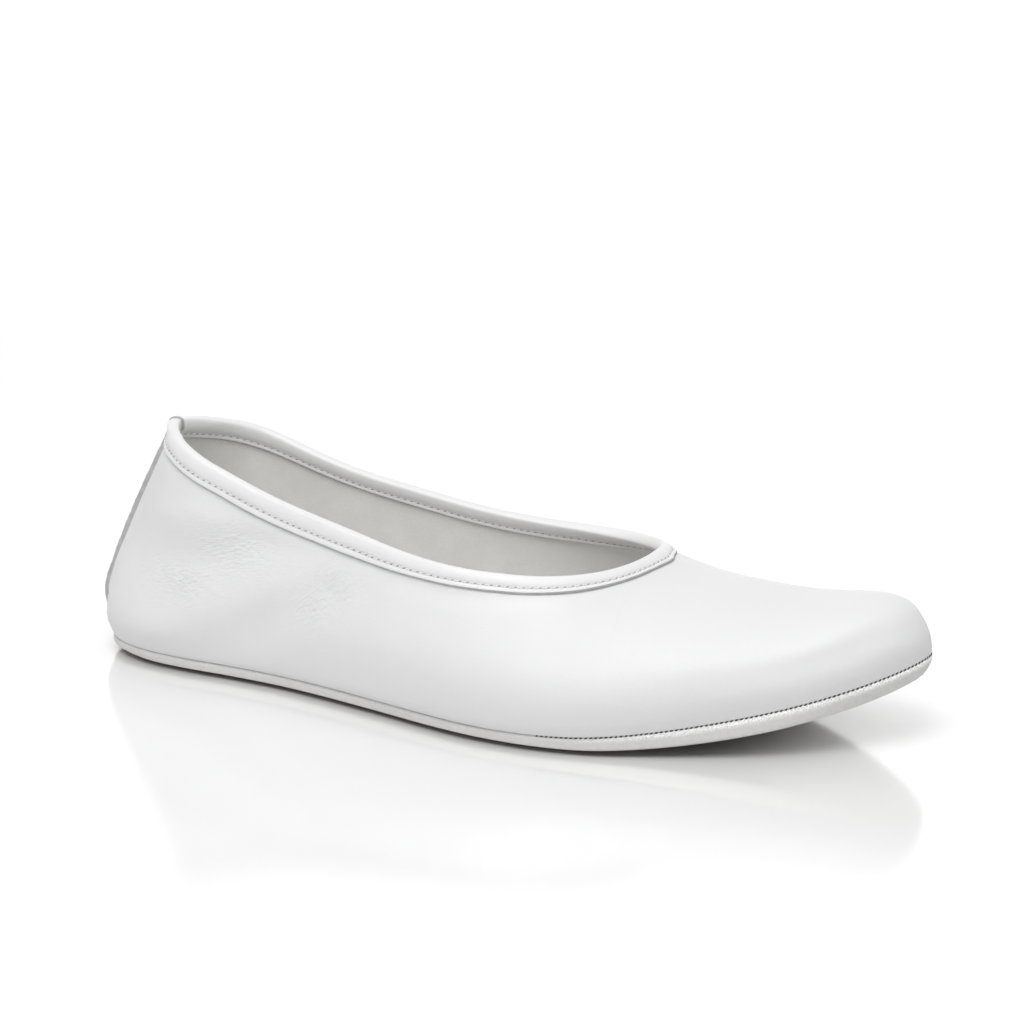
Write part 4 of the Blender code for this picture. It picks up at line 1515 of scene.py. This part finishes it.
class ShoeLeather(PropertyGroup):
    """Leather of the upper and its lining."""

    leather: colour_prop("Leather", "Colour of the upper's outside", (0.708, 0.708, 0.716))
    # Colour that darkens the upper towards the sole and paints the shade under the binding and beside the
    # back seam
    soil_and_shade: colour_prop("Soil", "Colour of the soil along the seams", (0.60, 0.60, 0.59))
    lining: colour_prop("Lining", "Colour of the lining", (0.86, 0.855, 0.84))
    # Grey of the back seam: its cut edges, and painted shade on its flanks
    raw: colour_prop("Raw edge", "Colour of the cut edges of the back seam", (0.44, 0.44, 0.44))
    grain: length_prop("Grain", "Size of the leather's grain", 0.0009)


class ShoeBinding(PropertyGroup):
    """Binding of the foot opening and its stitches."""

    binding: colour_prop("Binding", "Colour of the binding", (0.74, 0.74, 0.74))
    raw: colour_prop("Cut edge", "Colour of the binding's cut edge", (0.43, 0.43, 0.43))
    thread_colour: colour_prop("Thread", "Colour of the stitches", (0.80, 0.80, 0.80))
    # Colour of the dark marks between stitches, painted shade of the needle holes
    hole_shade: colour_prop("Needle hole", "Colour of the needle holes", (0.38, 0.38, 0.38))
    stitch_pitch: length_prop("Pitch", "Distance from stitch to stitch", 0.00225)
    stitch_length: length_prop("Stitch", "Length of one stitch", 0.00175)
    thread: length_prop("Thread size", "Thickness of the thread", 0.00042)


class ShoeSole(PropertyGroup):
    """Sole, insole and the seam round the sole."""

    sole: colour_prop("Edge", "Colour of the sole's edge", (0.63, 0.627, 0.615))
    tread: colour_prop("Tread", "Colour of the napped underside", (0.15, 0.135, 0.115))
    insole: colour_prop("Insole", "Colour of the insole's cloth", (0.70, 0.69, 0.66))
    seam_colour: colour_prop("Seam", "Colour of the seam", (0.53, 0.53, 0.53))
    seam_stitch: colour_prop("Seam stitches", "Colour of the stitches in the seam", (0.055, 0.055, 0.055))
    seam: length_prop("Seam size", "Thickness of the seam", 0.0006)
    seam_pitch: length_prop("Seam pitch", "Distance between the seam's stitches", 0.00135)


class ShoeStage(PropertyGroup):
    """Floor and light."""

    floor: colour_prop("Floor", "Colour of the floor", (0.90, 0.90, 0.90))
    floor_mirror: amount_prop("Mirror", "How much the floor mirrors", 0.3, max=1.0)
    floor_reach: length_prop("Reach", "Radius of the floor", 6.0)
    surround: amount_prop("Surround", "Strength of the white surroundings", 0.8)
    backdrop: amount_prop("Backdrop", "Extra strength behind the shoe", 0.7)
    toe_side: amount_prop("Toe side", "Strength taken off before the toe", 0.45)
    ceiling: amount_prop("Ceiling", "Strength of the surroundings overhead", 0.47)
    top_lamp: amount_prop("Top lamp", "Power of the lamp overhead", 0.95, unit="POWER")
    front_lamp: amount_prop("Front lamp", "Power of the lamp in front", 6.6, unit="POWER")
    side_lamp: amount_prop("Side lamp", "Power of the lamp beside the toe", 1.1, unit="POWER")


class SHOE_OT_upper(Operator):
    """Make the leather upper with its lining"""

    bl_idname = "shoe.upper"
    bl_label = "Upper"

    def execute(self, context):
        piece = make_upper(context.scene.shoe_leather)
        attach(piece, BODY)
        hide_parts("upper")
        return {"FINISHED"}


class SHOE_OT_back_seam(Operator):
    """Make the raised seam up the back of the heel"""

    bl_idname = "shoe.back_seam"
    bl_label = "Back seam"

    def execute(self, context):
        piece = make_back_seam(context.scene.shoe_leather)
        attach(piece, BODY)
        return {"FINISHED"}


class SHOE_OT_binding(Operator):
    """Make the folded binding round the foot opening"""

    bl_idname = "shoe.binding"
    bl_label = "Binding"

    def execute(self, context):
        piece = make_binding(context.scene.shoe_binding)
        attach(piece, BODY)
        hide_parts("collar_binding")
        return {"FINISHED"}


class SHOE_OT_stitches(Operator):
    """Sew the binding and the sole"""

    bl_idname = "shoe.stitches"
    bl_label = "Stitches"

    def execute(self, context):
        tree = stitch_tree()
        for piece in make_binding_stitches(context.scene.shoe_binding, tree):
            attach(piece, BODY)
        piece = make_sole_stitches(context.scene.shoe_sole, tree)
        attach(piece, BODY)
        return {"FINISHED"}


class SHOE_OT_sole(Operator):
    """Make the sole and the seam round it"""

    bl_idname = "shoe.sole"
    bl_label = "Sole"

    def execute(self, context):
        piece = make_sole(context.scene.shoe_sole)
        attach(piece, BODY)
        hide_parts("outsole")
        seam = make_seam(context.scene.shoe_sole)
        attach(seam, BODY)
        return {"FINISHED"}


class SHOE_OT_insole(Operator):
    """Make the insole"""

    bl_idname = "shoe.insole"
    bl_label = "Insole"

    def execute(self, context):
        piece = make_insole(context.scene.shoe_sole)
        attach(piece, BODY)
        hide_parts("insole")
        return {"FINISHED"}


class SHOE_OT_stage(Operator):
    """Set up the floor, the light and the camera"""

    bl_idname = "shoe.stage"
    bl_label = "Stage"

    def execute(self, context):
        settings = context.scene.shoe_stage
        floor = make_floor(settings)
        make_world(settings)
        for name, place in LAMPS.items():
            make_light(name, place, getattr(settings, name))
        make_camera()
        return {"FINISHED"}


class SHOE_PT_workshop(Panel):
    """Lists the shoe's pieces and their settings"""

    bl_idname = "SHOE_PT_workshop"
    bl_label = "Folk dance shoe"
    bl_space_type = "VIEW_3D"
    bl_region_type = "UI"
    bl_category = "Shoe"

    def draw(self, context):
        for operator in OPERATORS:
            self.layout.operator(operator.bl_idname)
        for name in GROUPS:
            group = getattr(context.scene, name)
            box = self.layout.box()
            for key in group.bl_rna.properties.keys():
                if key not in ("rna_type", "name"):
                    box.prop(group, key)


GROUPS = {
    "shoe_leather": ShoeLeather,
    "shoe_binding": ShoeBinding,
    "shoe_sole": ShoeSole,
    "shoe_stage": ShoeStage,
}
OPERATORS = (
    SHOE_OT_upper, SHOE_OT_back_seam, SHOE_OT_binding, SHOE_OT_sole, SHOE_OT_insole, SHOE_OT_stitches,
    SHOE_OT_stage,
)


def register():
    """Add the settings, operators and panel to Blender."""
    for cls in (*GROUPS.values(), *OPERATORS, SHOE_PT_workshop):
        bpy.utils.register_class(cls)
    for name, cls in GROUPS.items():
        setattr(bpy.types.Scene, name, PointerProperty(type=cls))


def unregister():
    """Take them out again."""
    for name in GROUPS:
        delattr(bpy.types.Scene, name)
    for cls in (SHOE_PT_workshop, *OPERATORS[::-1], *list(GROUPS.values())[::-1]):
        bpy.utils.unregister_class(cls)


def main():
    """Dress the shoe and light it."""
    register()
    bpy.ops.shoe.upper()
    bpy.ops.shoe.back_seam()
    bpy.ops.shoe.binding()
    bpy.ops.shoe.sole()
    bpy.ops.shoe.insole()
    bpy.ops.shoe.stitches()
    bpy.ops.shoe.stage()


if __name__ == "__main__":
    main()
